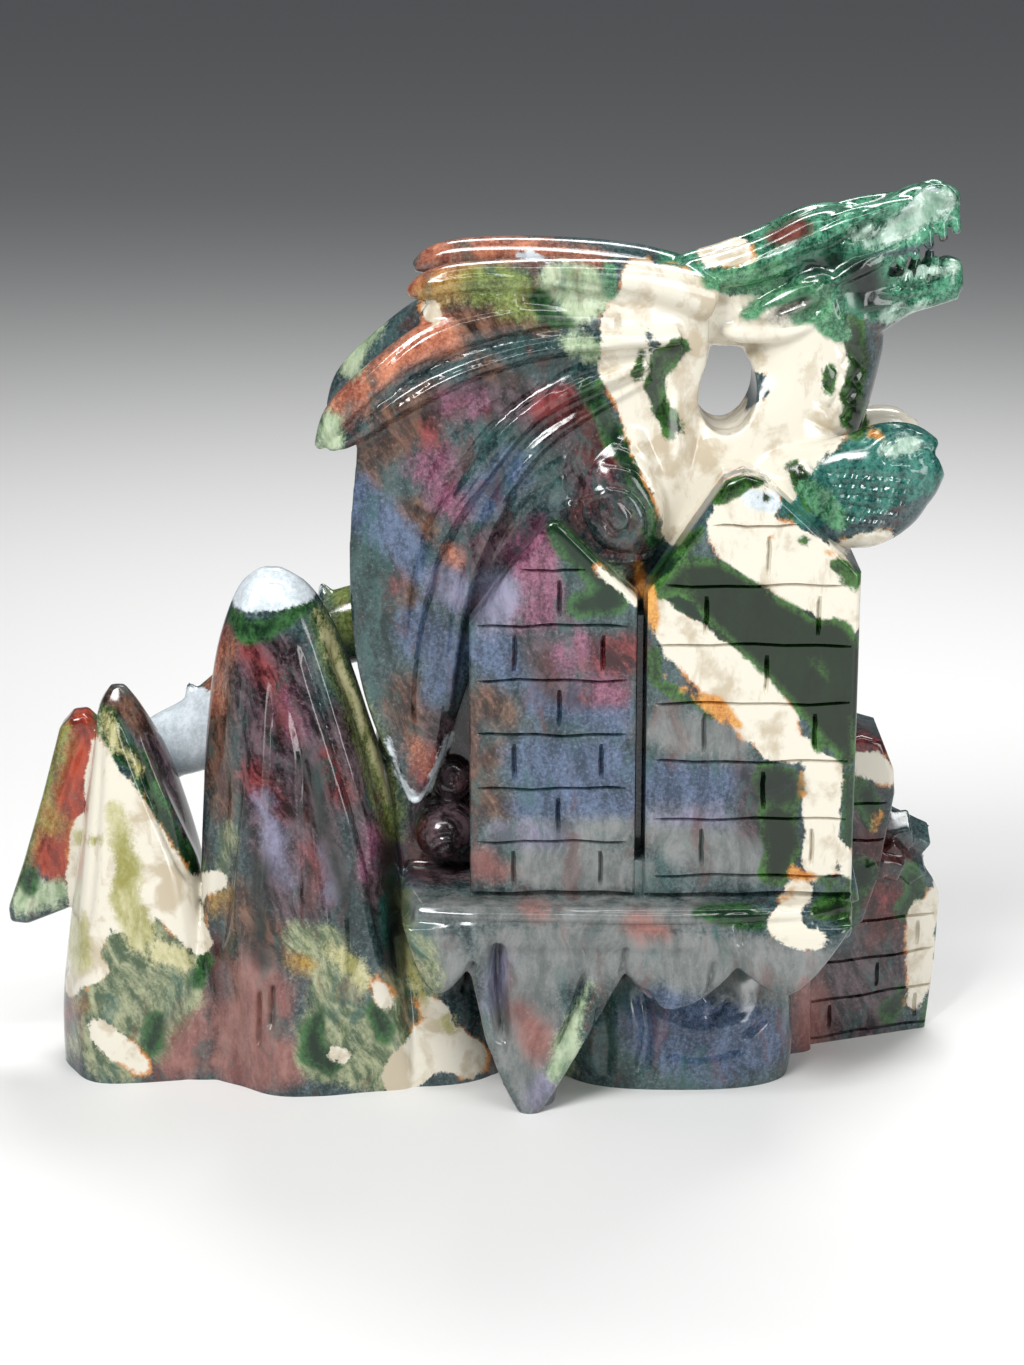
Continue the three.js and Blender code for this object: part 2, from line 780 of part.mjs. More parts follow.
function castle() {
  const left = slab(towerOutline(LEFT_TOWER, 2), TOWER_FRONT, TOWER_DEPTH, TOWER_BEVEL);
  const right = slab(towerOutline(RIGHT_TOWER, 6), TOWER_FRONT - 1, TOWER_DEPTH, TOWER_BEVEL);
  const gapMiddle = (LEFT_TOWER.right + RIGHT_TOWER.left) / 2;
  const between = block(
    [gapMiddle - 6, TOWER_FRONT + 1, LEDGE_TOP - 2],
    [gapMiddle + 6, TOWER_FRONT + TOWER_DEPTH, LEFT_TOWER.eaves],
  );
  const slot = block(
    [gapMiddle - SLOT_WIDTH / 2, TOWER_FRONT - 3, LEDGE_TOP + 12],
    [gapMiddle + SLOT_WIDTH / 2, TOWER_FRONT + SLOT_DEPTH, RIGHT_TOWER.farEaves],
  );
  const leftStep = (LEFT_TOWER.eaves - LEDGE_TOP) / 5.05;
  const rightStep = (RIGHT_TOWER.farEaves - 4 - LEDGE_TOP) / 5.4;
  const leftCourses = brickwork({
    courses: { heights: courseHeights(7, LEFT_TOWER.eaves, leftStep), eaves: LEFT_TOWER.eaves, slope: 0.75 },
    left: LEFT_TOWER.left,
    right: LEFT_TOWER.right - 1,
    single: [0.54],
    pair: [0.27, 0.8],
    face: TOWER_FRONT,
  });
  const rightCourses = brickwork({
    courses: { heights: courseHeights(7, RIGHT_TOWER.farEaves - 4, rightStep), eaves: RIGHT_TOWER.eaves, slope: 0.75 },
    left: RIGHT_TOWER.left + 1,
    right: RIGHT_TOWER.right,
    single: [0.56],
    pair: [0.27, 0.8],
    face: TOWER_FRONT - 1,
  });
  return joined([left, right, between]).subtract(joined([slot, leftCourses, rightCourses]));
}

// The low wall at the right end is turned away from the front, with tumbled roof slabs on it.
function lowWall() {
  const outline = [
    [0, -4],
    [WALL_LENGTH - 4, -4],
    [WALL_LENGTH - 1, WALL_HEIGHT * 0.45],
    [WALL_LENGTH, WALL_HEIGHT * 0.86],
    [WALL_LENGTH - 3, WALL_HEIGHT * 0.97],
    [WALL_LENGTH - 12, WALL_HEIGHT * 1.2],
    [WALL_LENGTH - 24, WALL_HEIGHT * 1.3],
    [0, WALL_HEIGHT * 1.1],
  ];
  const step = WALL_HEIGHT * 0.235;
  const courses = brickwork({
    courses: { heights: [3, 2, 1, 0].map((i) => 2.5 + i * step), eaves: WALL_HEIGHT, slope: 0 },
    left: -8,
    right: WALL_LENGTH,
    single: [0.34, 0.86],
    pair: [0.08, 0.62],
    face: 0,
  });
  const wall = slab(outline, 0, WALL_THICKNESS, 2).subtract(courses);
  return wall.rotate([0, 0, WALL_TURN]).translate([104, 5, 0]);
}

function roofSlabs() {
  const places = [
    [124, 8, 62, 9, 5, 4, -30],
    [131, 10, 66, 8, 6, 4, 15],
    [139, 14, 66, 9, 6, 4, 48],
    [133, 16, 73, 10, 6, 4, -12],
    [141, 20, 72, 8, 6, 4, 30],
  ];
  return joined(
    places.map(([x, y, z, wide, deep, thick, lean]) => {
      const geometry = new THREE.BoxGeometry(2 * wide, 2 * deep, 2 * thick);
      geometry.rotateY(THREE.MathUtils.degToRad(lean));
      geometry.rotateX(0.35);
      geometry.translate(x, y, z);
      return solid(geometry);
    }),
  );
}

function backTower() {
  const { left, right, front, depth, eaves, ridge } = BACK_TOWER;
  const outline = [
    [left, 30],
    [right - 9.5, 46],
    [right - 5, 62],
    [right - 0.5, eaves - 8],
    [right - 1, eaves],
    [right - 5, ridge],
    [right - 12, ridge + 2],
    [left, ridge - 4],
  ];
  const courses = [0.72, 0.5].map((share) => {
    const z = LEDGE_TOP + (eaves - LEDGE_TOP) * (share * 2 - 0.82);
    return groove([left + 4, z], [right - 3, z], front);
  });
  return slab(outline, front, depth, 2).subtract(joined(courses));
}

function rockPoint() {
  return cone([117, -20, 62], [0, 0.1, 1], 18, 5, 5);
}

// Hind foot and knee ring in the recess between the mountain and the castle.
function recessCarving() {
  const toes = [0, 1, 2, 3].map((i) => {
    const x = -17 + i * 4.4;
    const toe = [
      [x, -8, 88, 3, 3],
      [x - 0.6, -17, 84, 2.8, 3],
      [x - 1, -22, 77, 2.2, 2.6],
      [x - 1, -23, 70, 1.4, 2],
    ];
    return limb(toe, 3, PLAIN_SIDES);
  });
  const profile = [
    [0, 0],
    [7, 0],
    [7, 3],
    [5.6, 4.6],
    [3.6, 3.2],
    [0, 4.2],
  ];
  const knob = new THREE.LatheGeometry(profile.map(([r, h]) => new THREE.Vector2(r, h)), 9);
  knob.rotateX(Math.PI / 2);
  knob.translate(-10.2, -10, 101);
  return joined([...toes, solid(knob)]);
}

// Everything is one stone: the solids are joined, and the underside is cut flat.
function carving() {
  const whole = joined([
    dragon(),
    mountains(),
    footRock(),
    ledge(),
    castle(),
    lowWall(),
    roofSlabs(),
    backTower(),
    rockPoint(),
    recessCarving(),
  ]);
  const below = block([-400, -300, -100], [400, 300, 0]);
  return whole.subtract(below);
}

function meshGeometry(one) {
  const { vertProperties, triVerts } = one.getMesh();
  const geometry = new THREE.BufferGeometry();
  geometry.setAttribute("position", new THREE.BufferAttribute(new Float32Array(vertProperties), 3));
  geometry.setIndex(new THREE.BufferAttribute(new Uint32Array(triVerts), 1));
  geometry.computeVertexNormals();
  return geometry;
}

const jasper = new THREE.MeshStandardMaterial({ color: 0x6f7f6c, roughness: 0.18, metalness: 0 });
const geometry = meshGeometry(carving());
geometry.computeBoundingBox();
const box = geometry.boundingBox;
const stone = new THREE.Mesh(geometry, jasper);
stone.name = "dragon_castle_carving";

// The origin is on the underside, in the middle of the length and the depth.
const part = new THREE.Group();
part.add(stone);
stone.position.set(-(box.min.x + box.max.x) / 2, -(box.min.y + box.max.y) / 2, -box.min.z);

export default part;
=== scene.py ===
# %% [markdown]
# # A jasper carving of a dragon and a castle
#
# The carving is one polished stone, about 315 mm long.
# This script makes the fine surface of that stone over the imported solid, then lights it and looks at it.
# Rows of numbers are in millimetres, in the stone's own drawing frame: x to the right, y away, z up.

# %% Load the frame
import math

import bmesh
import bpy
import numpy as np
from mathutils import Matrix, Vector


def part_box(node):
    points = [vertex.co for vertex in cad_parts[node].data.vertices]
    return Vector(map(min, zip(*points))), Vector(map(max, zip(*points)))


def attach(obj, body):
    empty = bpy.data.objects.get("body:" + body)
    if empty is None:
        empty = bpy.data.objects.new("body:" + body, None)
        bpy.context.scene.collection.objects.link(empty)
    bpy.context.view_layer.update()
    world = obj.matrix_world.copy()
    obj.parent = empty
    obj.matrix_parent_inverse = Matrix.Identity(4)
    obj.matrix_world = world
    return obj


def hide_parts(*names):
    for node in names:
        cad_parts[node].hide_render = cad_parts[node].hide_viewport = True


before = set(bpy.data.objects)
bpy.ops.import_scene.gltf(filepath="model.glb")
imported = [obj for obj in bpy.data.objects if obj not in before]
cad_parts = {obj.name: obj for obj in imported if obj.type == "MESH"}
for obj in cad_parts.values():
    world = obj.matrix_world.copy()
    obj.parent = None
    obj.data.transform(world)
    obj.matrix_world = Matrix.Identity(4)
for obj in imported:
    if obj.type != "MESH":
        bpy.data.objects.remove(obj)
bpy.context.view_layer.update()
NODE = "dragon_castle_carving"
node_low, node_high = (np.array(corner) * 1000 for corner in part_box(NODE))
print("the stone measures", np.round(node_high - node_low, 1), "mm")

# %% [markdown]
# ## Sizes
#
# The driving sizes repeat those of the solid, so every form lands where the solid has it.
# They are named once, and the towers, the ledge and the opening below are built from them.

# %% Name the driving sizes
BODY_MIDDLE = 4
WING_HALF_THICKNESS = 4.5
OPENING_WIDTH = 18.5
OPENING_HEIGHT = 26.5
LEDGE_TOP = 70
LEDGE_THICKNESS = 15
LEDGE_REACH = 12
TOWER_FRONT = -39
TOWER_DEPTH = 36
GROOVE_DEPTH = 1.5
LEAF_TIP_X = -160.2
LEFT_TOWER = dict(left=-4.6, right=48.4, eaves=159.5, far_eaves=167, ridge=193, ridge_at=21.6)
RIGHT_TOWER = dict(left=50.2, right=117, eaves=169, far_eaves=176.5, ridge=207.5, ridge_at=80.5)
VOXEL = 0.7
STONE_TRIANGLES = 120_000
LONGEST_EDGE = 6
SLIVER = 0.02
SHARP_FROM = math.radians(38)

# The drawing frame sits a little aside from the row's frame, whose origin is in the middle of the box.
shift = np.array([node_low[0] - LEAF_TIP_X, node_low[1] - (TOWER_FRONT - LEDGE_REACH - 0.5), 0])
print("drawing frame to row frame", np.round(shift, 2), "mm")

# %% [markdown]
# ## Camera
#
# The photograph looks straight at the castle's front wall, from 16 degrees above.
# A long lens from a metre away keeps upright lines nearly upright, as in the photograph.
# `seen` gives the place in the photograph, in its own pixels, of points in the drawing frame.
# The carved lines and the stone's colours are placed with it later on.

# %% Place the camera
PHOTO_WIDTH, PHOTO_HEIGHT = 1024, 1365
CAMERA_DISTANCE = 1000
CAMERA_RISE = math.radians(16)
PIXELS_PER_MM = 3.07
SENSOR_HEIGHT = 36
NEAREST_SEEN = 0.05
LOOK_AT = np.array([8.8, 0, 130])
camera_place = LOOK_AT + CAMERA_DISTANCE * np.array([0, -math.cos(CAMERA_RISE), math.sin(CAMERA_RISE)])


def seen(points):
    ahead = (LOOK_AT - camera_place) / CAMERA_DISTANCE
    right = np.array([1.0, 0, 0])
    up = np.cross(right, ahead)
    away = points - camera_place
    depth = away @ ahead
    focal = PIXELS_PER_MM * CAMERA_DISTANCE
    across = PHOTO_WIDTH / 2 + focal * (away @ right) / depth
    down = PHOTO_HEIGHT / 2 - focal * (away @ up) / depth
    return np.stack([across, down], axis=1)


camera_data = bpy.data.cameras.new("camera")
camera_data.sensor_fit = "VERTICAL"
camera_data.sensor_height = SENSOR_HEIGHT
camera_data.lens = SENSOR_HEIGHT * PIXELS_PER_MM * CAMERA_DISTANCE / PHOTO_HEIGHT
camera_data.clip_start = NEAREST_SEEN
camera = bpy.data.objects.new("camera", camera_data)
bpy.context.collection.objects.link(camera)
camera.location = (camera_place + shift) / 1000
camera.rotation_euler = (math.pi / 2 - CAMERA_RISE, 0, 0)
bpy.context.scene.camera = camera
print("camera at", np.round(camera.location, 3), "m with a lens of", round(camera_data.lens, 1), "mm")

# %% [markdown]
# ## Rows, rings and skins
#
# A carver works from a few sections and lets the surface flow between them.
# A cage with a subdivision modifier can do that too.
# Rows of numbers are used here, because they are easier to set against a photograph.
# `eased` draws a smooth curve through rows, and `rounded` gives a ring between a circle and a box.
# `skin` closes rings into a form, which is a pair: its points and its faces.


# %% Ease rows and make skins
def eased(rows, steps):
    rows = np.array(rows, float)
    last = len(rows) - 1
    at = np.linspace(0, last, steps + 1)
    k = np.minimum(at.astype(int), last - 1)
    t = (at - k)[:, None]
    a, b, c, d = (rows[np.clip(k + j, 0, last)] for j in (-1, 0, 1, 2))
    return 0.5 * (2 * b + (c - a) * t + (2 * a - 5 * b + 4 * c - d) * t**2 + (3 * b - a - 3 * c + d) * t**3)


def rounded(angle, power):
    def shape(v):
        return np.sign(v) * np.abs(v) ** (2 / power)
    return shape(np.cos(angle)), shape(np.sin(angle))


def skin(rings):
    rings = np.array(rings)
    count, sides, _ = rings.shape
    points = np.concatenate([rings.reshape(-1, 3), [rings[0].mean(axis=0), rings[-1].mean(axis=0)]])
    s = np.arange(sides)
    after = (s + 1) % sides
    faces = []
    for r in range(count - 1):
        a = r * sides
        faces += np.stack([a + s, a + after, a + sides + after, a + sides + s], axis=1).tolist()
    first, final = count * sides, count * sides + 1
    faces += np.stack([np.full(sides, first), after, s], axis=1).tolist()
    faces += np.stack([np.full(sides, final), first - sides + s, first - sides + after], axis=1).tolist()
    return points, faces


print("rows, rings and skins are ready")

# %% [markdown]
# ## Limbs and rocks
#
# Fingers, horns and the tail are rounded bars whose thickness changes along a bent path.
# `limb` lays rings square to such a path, and each row is a place with half a height and half a depth.
# Peaks and boulders are piled upwards, so `rock` stacks level rings, with shallow flutes ground into them.


# %% Make limbs and rocks
THINNEST = 0.05


def limb(rows, steps, sides=28, power=2.2):
    path = eased(rows, steps)
    centre = path[:, :3]
    along = np.empty_like(centre)
    along[1:-1] = centre[2:] - centre[:-2]
    along[0], along[-1] = centre[1] - centre[0], centre[-1] - centre[-2]
    along /= np.linalg.norm(along, axis=1, keepdims=True)
    side = np.array([0, 1, 0]) - along * along[:, 1:2]
    side /= np.linalg.norm(side, axis=1, keepdims=True)
    up = np.cross(along, side)
    across, upward = rounded(2 * np.pi * (np.arange(sides) + 0.5) / sides, power)
    half_high, half_deep = np.maximum(path[:, 3:5], THINNEST).T
    wide = (half_deep[:, None] * across)[..., None] * side[:, None]
    high = (half_high[:, None] * upward)[..., None] * up[:, None]
    return skin(centre[:, None] + wide + high)


def rock(rows, steps, sides=72, power=2.6, flutes=0, depth=0.0, turn=0.0):
    z, left, right, front, back = eased(rows, steps).T[:, :, None]
    angle = 2 * np.pi * np.arange(sides)[None] / sides
    across, deep = rounded(angle, power)
    flute = 1 - depth * (0.5 + 0.5 * np.cos(flutes * angle + turn + z / 60))
    x = (left + right) / 2 + (right - left) / 2 * across * flute
    y = (front + back) / 2 + (back - front) / 2 * deep * flute
    return skin(np.stack([x, y, z + 0 * x], axis=2))


print("limbs and rocks are ready")

# %% [markdown]
# ## Slabs
#
# The towers, the ledge, the hanging rock and the leaf are flat pieces with an outline.
# A bevel modifier would round every edge alike, and the back edges stay square, so `slab` rounds its own rim.
# Each ring of the rim is the outline drawn in along its own normals.


# %% Make slabs
def inward(outline, amount):
    before, after = np.roll(outline, 1, axis=0), np.roll(outline, -1, axis=0)
    in_edge, out_edge = outline - before, after - outline
    in_edge /= np.linalg.norm(in_edge, axis=1, keepdims=True)
    out_edge /= np.linalg.norm(out_edge, axis=1, keepdims=True)
    normal_in = np.stack([-in_edge[:, 1], in_edge[:, 0]], axis=1)
    normal_out = np.stack([-out_edge[:, 1], out_edge[:, 0]], axis=1)
    mitre = normal_in + normal_out
    mitre /= np.maximum((mitre * normal_in).sum(axis=1, keepdims=True), 0.5)
    return outline + mitre * amount


def slab(outline, front, depth, bevel, rim_steps=4, plane="xz"):
    outline = np.array(outline, float)
    area = np.sum(outline[:, 0] * np.roll(outline[:, 1], -1) - np.roll(outline[:, 0], -1) * outline[:, 1])
    if area < 0:
        outline = outline[::-1]
    rings = []
    turns = np.linspace(0, np.pi / 2, rim_steps + 1) if bevel else [0]
    for t in turns:
        rings.append((inward(outline, bevel * (1 - math.sin(t))), front + bevel * (1 - math.cos(t))))
    for t in reversed(list(turns)):
        rings.append((inward(outline, bevel * (1 - math.sin(t))), front + depth - bevel * (1 - math.cos(t))))
    sides = len(outline)
    if plane == "xz":
        stack = [np.stack([ring[:, 0], np.full(sides, y), ring[:, 1]], axis=1) for ring, y in rings]
    else:
        stack = [np.stack([ring[:, 0], ring[:, 1], np.full(sides, z)], axis=1) for ring, z in rings]
    points = np.concatenate(stack)
    faces = []
    for r in range(len(stack) - 1):
        for s in range(sides):
            a, b = r * sides + s, r * sides + (s + 1) % sides
            faces.append([a, b, b + sides, a + sides])
    last = (len(stack) - 1) * sides
    faces.append(list(range(sides))[::-1])
    faces.append([last + s for s in range(sides)])
    if plane == "xz":
        faces = [face[::-1] for face in faces]
    return points, faces


def block(low, high):
    (x0, y0, z0), (x1, y1, z1) = low, high
    return slab([[x0, z0], [x1, z0], [x1, z1], [x0, z1]], y0, y1 - y0, 0)


print("slabs are ready")

# %% [markdown]
# ## Mirrored, moved and pointed forms
#
# The dragon's two sides match, so most of its forms are made once and mirrored about the middle of its body.
# Turning the faces round as well keeps them facing outwards.


# %% Mirror and move forms
def mirrored(form):
    points, faces = form
    return points * [1, -1, 1] + [0, 2 * BODY_MIDDLE, 0], [face[::-1] for face in faces]


def moved(form, by):
    return form[0] + np.array(by), form[1]


def both_sides(forms):
    return forms + [mirrored(form) for form in forms]


# A spike is a blunt cone from its root towards a direction.
SPIKE_SIDES = 20


def spike(root, towards, length, radius, blunt=0.25):
    root, towards = np.array(root, float), np.array(towards, float)
    towards /= np.linalg.norm(towards)
    side = np.cross(towards, [0, 1, 0] if abs(towards[1]) < 0.9 else [1, 0, 0])
    side /= np.linalg.norm(side)
    other = np.cross(towards, side)
    angle = 2 * np.pi * np.arange(SPIKE_SIDES) / SPIKE_SIDES
    ring = np.cos(angle)[:, None] * side + np.sin(angle)[:, None] * other
    shares = np.linspace(0, 1, 9)
    width = radius * np.sqrt(np.maximum(1 - shares**1.6, 0.0)) * (1 - (1 - blunt) * shares * 0.55)
    return skin([root + towards * length * s + ring * max(w, 0.03) for s, w in zip(shares, width)])


print("mirrors and spikes are ready")

# %% [markdown]
# ## From forms to one mesh
#
# Forms that only touch would show seams, and a carving in one stone has none.
# A voxel remesh melts the rounded forms together, and a boolean joins or cuts what has to stay crisp.
# `settled` turns a modifier's result into the mesh itself, so the next step starts from plain points.


# %% Make and join meshes
def to_object(name, forms):
    points, faces, base = [], [], 0
    for form_points, form_faces in forms:
        points.append(form_points)
        faces += [[base + i for i in face] for face in form_faces]
        base += len(form_points)
    mesh = bpy.data.meshes.new(name)
    mesh.from_pydata(np.concatenate(points) / 1000, [], faces)
    mesh.update()
    made = bpy.data.objects.new(name, mesh)
    bpy.context.collection.objects.link(made)
    return made


def settled(made):
    depsgraph = bpy.context.evaluated_depsgraph_get()
    mesh = bpy.data.meshes.new_from_object(made.evaluated_get(depsgraph))
    old = made.data
    made.modifiers.clear()
    made.data = mesh
    bpy.data.meshes.remove(old)
    return made


def remeshed(made, voxel):
    change = made.modifiers.new("voxels", "REMESH")
    change.mode = "VOXEL"
    change.voxel_size = voxel / 1000
    return settled(made)


def combined(made, other, operation):
    change = made.modifiers.new("boolean", "BOOLEAN")
    change.solver = "MANIFOLD"
    change.operation = operation
    change.object = other
    settled(made)
    mesh = other.data
    bpy.data.objects.remove(other)
    bpy.data.meshes.remove(mesh)
    return made


print("joining is ready")

# %% [markdown]
# ## Points as arrays
#
# Polishing and carving move every point a little.
# Numpy does that for all of them at once, far faster than a loop.


# %% Read and move points
def points_of(made):
    flat = np.empty(3 * len(made.data.vertices), np.float32)
    made.data.vertices.foreach_get("co", flat)
    return flat.reshape(-1, 3).astype(float) * 1000


def put_points(made, points):
    made.data.vertices.foreach_set("co", (points / 1000).astype(np.float32).ravel())
    made.data.update()


def normals_of(made):
    flat = np.empty(3 * len(made.data.vertices), np.float32)
    made.data.vertex_normals.foreach_get("vector", flat)
    return flat.reshape(-1, 3).astype(float)


print("points can be read and moved")

# %% [markdown]
# ## The dragon's body
#
# Neck, chest and belly are one sweep, and the shoulder stands beside them.
# The nape bridges the two above a round opening, which is cut right through once the forms are one skin.
# Three thick limbs that overlap well melt into such a body without a dent between them.


# %% Shape the body
def torso():
    return limb([
        [48, 10, 34, 52, 25],
        [48, 10, 70, 54, 26],
        [52, 9, 112, 48, 25],
        [60, 7, 150, 43, 25],
        [74, 5, 184, 37, 23],
        [89, 4, 207, 30, 19],
        [101.5, 4, 226, 21.5, 15.5],
        [104.5, 4, 243, 22, 13.5],
        [106, 4, 257, 19, 13.5],
        [106, 4, 267, 13, 11],
    ], 60, 64)


def shoulder():
    return limb([
        [44, 4, 160, 24, 24],
        [51, 4, 200, 23, 23],
        [55, 4, 228, 15.5, 20],
        [58, 4, 248, 14, 18],
        [61, 4, 264, 8, 13],
    ], 36, 56)


def nape():
    return limb([
        [112, 4, 262, 10, 10],
        [98, 4, 259, 14, 11],
        [86, 4, 256.5, 15.5, 10.5],
        [75, 4, 255.5, 15.5, 11],
        [64, 4, 257, 10, 13],
    ], 30, 48)


def opening():
    turn = np.linspace(0, 2 * np.pi, 48, endpoint=False)
    x, z = OPENING_WIDTH / 2 * np.cos(turn), OPENING_HEIGHT / 2 * np.sin(turn)
    lean = -0.1
    outline = np.stack([
        76.5 + x * math.cos(lean) - z * math.sin(lean),
        227.5 + x * math.sin(lean) + z * math.cos(lean),
    ], axis=1)
    return slab(outline, -60, 120, 0)


body = [torso(), shoulder(), nape()]
print(len(body), "body forms")

# %% [markdown]
# ## The wings
#
# The folded wing is a thin bowed sheet that hangs from the shoulder nearly to the ground.
# Its outline changes with height, so it is stacked from level rings like a rock, but hardly deep.


# %% Shape the wings
def wing_sheet():
    rows = [
        [96, -24.5, -20.5, -19, -19],
        [108, -29, -14.5, -22, -20],
        [124, -35.5, -9, -24, -20],
        [142, -40, -2, -25, -18],
        [162, -42, 14, -25, -16],
        [184, -42, 40, -25, -14],
        [206, -40, 60, -25, -12],
        [222, -38, 67, -25, -10],
        [238, -29, 70, -24.5, -9],
        [252, -19, 70, -23.5, -8],
        [262, -15, 66, -22, -8],
        [268, -6, 52, -20, -12],
    ]
    z, left, right, left_depth, right_depth = eased(rows, 66).T[:, :, None]
    across, deep = rounded(2 * np.pi * np.arange(120)[None] / 120, 2.6)
    half = (right - left) / 2
    bow = 0.055 * half * (1 - across**2)
    depth = left_depth + (right_depth - left_depth) * (1 + across) / 2
    x = left + half * (1 + across)
    return skin(np.stack([x, depth - bow + deep * WING_HALF_THICKNESS, z + 0 * x], axis=2))


print("the wing sheet has", len(wing_sheet()[0]), "points")

# %% [markdown]
# ## The wing's bones
#
# Raised bones fan out from the shoulder, and those at the top end in free points.
# Each is a limb laid half into the sheet, so it stands proud like a ridge that the carver left.
# The far wing mirrors the near one with fewer bones.

# %% Shape the bones of the wing
WING_ARM = [
    [70, -6, 257, 8, 9],
    [48, -13, 263.5, 6.5, 7.5],
    [20, -19.5, 266, 5.5, 7],
    [-6, -23, 265.5, 5, 6.5],
    [-17, -23.5, 263, 4.5, 5.5],
    [-23, -23, 261, 1.6, 2.4],
]
WING_THUMB = [[10, -20, 258, 4.5, 6.5], [-10, -23, 257, 4.5, 5.5], [-19.5, -24, 252.6, 1.4, 2]]
OUTER_FINGER = [
    [40, -15, 251, 5, 6],
    [8, -22, 252, 6.5, 6.5],
    [-15, -25.5, 246.5, 6.5, 6.5],
    [-33, -27.5, 234, 6, 6],
    [-45, -28, 223.5, 4.6, 5],
    [-51.3, -28, 213.6, 1.4, 2],
]
INNER_FINGER = [
    [60, -14, 246, 3, 6],
    [24, -22.5, 245, 3.4, 6],
    [-2, -26, 239, 3.8, 6],
    [-26, -28, 227.5, 3.8, 5.5],
    [-41, -28, 217, 2.8, 4.5],
    [-48, -28, 213.6, 1.2, 2],
]
MIDDLE_FINGER = [
    [50, -15.5, 238, 2.6, 5.5],
    [18, -23, 226, 3.4, 5.5],
    [-1.5, -26, 206, 3.8, 5.5],
    [-14.5, -26.5, 185, 3.6, 5.2],
    [-22, -26, 156, 3, 4.6],
    [-24.5, -24, 124, 2.4, 4.2],
    [-22.5, -20.5, 99, 1, 3],
]
LAST_FINGER = [
    [50, -14, 233, 2.4, 5],
    [18, -21.5, 214, 2.8, 5.2],
    [2, -24, 189, 2.8, 5.2],
    [-7, -24, 162, 2.4, 4.6],
    [-11.5, -22, 128, 1.4, 3.6],
]


def wings():
    near = [WING_ARM, WING_THUMB, OUTER_FINGER, INNER_FINGER, MIDDLE_FINGER, LAST_FINGER]
    far = [WING_ARM, OUTER_FINGER, MIDDLE_FINGER, LAST_FINGER]
    forms = [wing_sheet()] + [limb(rows, 48, 24) for rows in near]
    return forms + [mirrored(wing_sheet())] + [mirrored(limb(rows, 40, 20)) for rows in far]


wing_forms = wings()
print(len(wing_forms), "wing forms")

# %% [markdown]
# ## The head
#
# The head points up to the right with open jaws.
# Skull and lower jaw are two boxy limbs.
# Each side has a brow, a nostril, a cheek spike and an almond eye.


# %% Shape the head
def head():
    skull = [
        [97, 4, 261, 15, 11],
        [109, 4, 268, 15.5, 13.5],
        [120, 4, 271, 13.5, 12.5],
        [130, 4, 275.5, 12, 10],
        [138.5, 4, 280.3, 11.4, 9],
        [145, 4, 283, 8.6, 8],
        [148.4, 4, 283, 4.4, 5],
    ]
    lower_jaw = [
        [108, 4, 251, 11, 11],
        [121, 4, 253, 9.5, 10.5],
        [132, 4, 256.3, 6.4, 8.5],
        [140.5, 4, 258.6, 6, 7.8],
        [147, 4, 261.8, 7, 7],
        [150.4, 4, 262.3, 4.2, 5],
    ]
    cheek_spike = [
        [130, -4.5, 273, 2.6, 3],
        [121, -7.5, 269, 3.2, 3.4],
        [112, -9.4, 264.5, 2.6, 3],
        [105.5, -10.4, 261, 0.8, 1],
    ]
    brow = [
        [134, -2.6, 286, 2, 3],
        [125, -5.4, 284.4, 2.6, 3.6],
        [113, -7.6, 281.6, 3, 3.8],
        [99, -7, 275.6, 3.4, 3.6],
    ]
    nostril = [[137, -1, 289, 2, 3], [142, -2.6, 289, 3, 3.6], [146, -2.2, 286.5, 2, 2.6]]
    eye = [[116.4, -7.2, 277.4, 0.6, 0.6], [119.4, -7.8, 279.2, 2, 2.2], [122.8, -7.2, 281, 0.5, 0.5]]
    halves = [limb(rows, 24, 24) for rows in (cheek_spike, brow, nostril)]
    halves.append(limb(eye, 12, 20))
    return [limb(skull, 40, 56, 2.8), limb(lower_jaw, 36, 48, 2.8)] + both_sides(halves)


head_forms = head()
print(len(head_forms), "head forms")

# %% [markdown]
# ## The mouth
#
# Melting closes a gap as narrow as the one between the jaws, so the mouth is cut afterwards with a wedge.
# The teeth are joined after that cut, from a finer melt of their own, or they would run into one another.


# %% Shape the mouth and the teeth
def mouth():
    outline = [
        [156, 284.6], [150.5, 282], [145.4, 280], [141.6, 278], [138.4, 275], [134.6, 271.8], [130, 269.4],
        [126.5, 266.6], [126.5, 264],
        [131.6, 263.2], [138, 264.6], [142.5, 266.6], [145, 268.8], [149, 267.6], [156, 267.6],
    ]
    return slab(outline, -30, 60, 0.6)


# A tooth is a blunt peg from its tip back into the jaw.
def peg(tip, back):
    tip, back = np.array(tip, float), np.array(back, float)
    widths = [(0, 1.2), (0.15, 1.5), (0.6, 1.6), (1, 1.9)]
    return limb([[*(tip + share * back), width, width] for share, width in widths], 10, 20)


def teeth():
    upper = [
        [147.6, -2.6, 276.4], [143.3, -4.4, 274], [139, -5.2, 271.8],
        [134.8, -5.6, 268.6], [130.8, -5.8, 266.4],
    ]
    lower = [[141.4, -3.8, 269.4], [136.9, -4.4, 267], [132.6, -4.8, 265.6]]
    return [peg(tip, [-1, 1, 6]) for tip in upper] + [peg(tip, [-0.6, 0.6, -5.5]) for tip in lower]


print(len(teeth()), "teeth on each side")

# %% [markdown]
# ## Horns, ears and frill
#
# Three tapering limbs on each side sweep back from the head and lie on the shoulder.


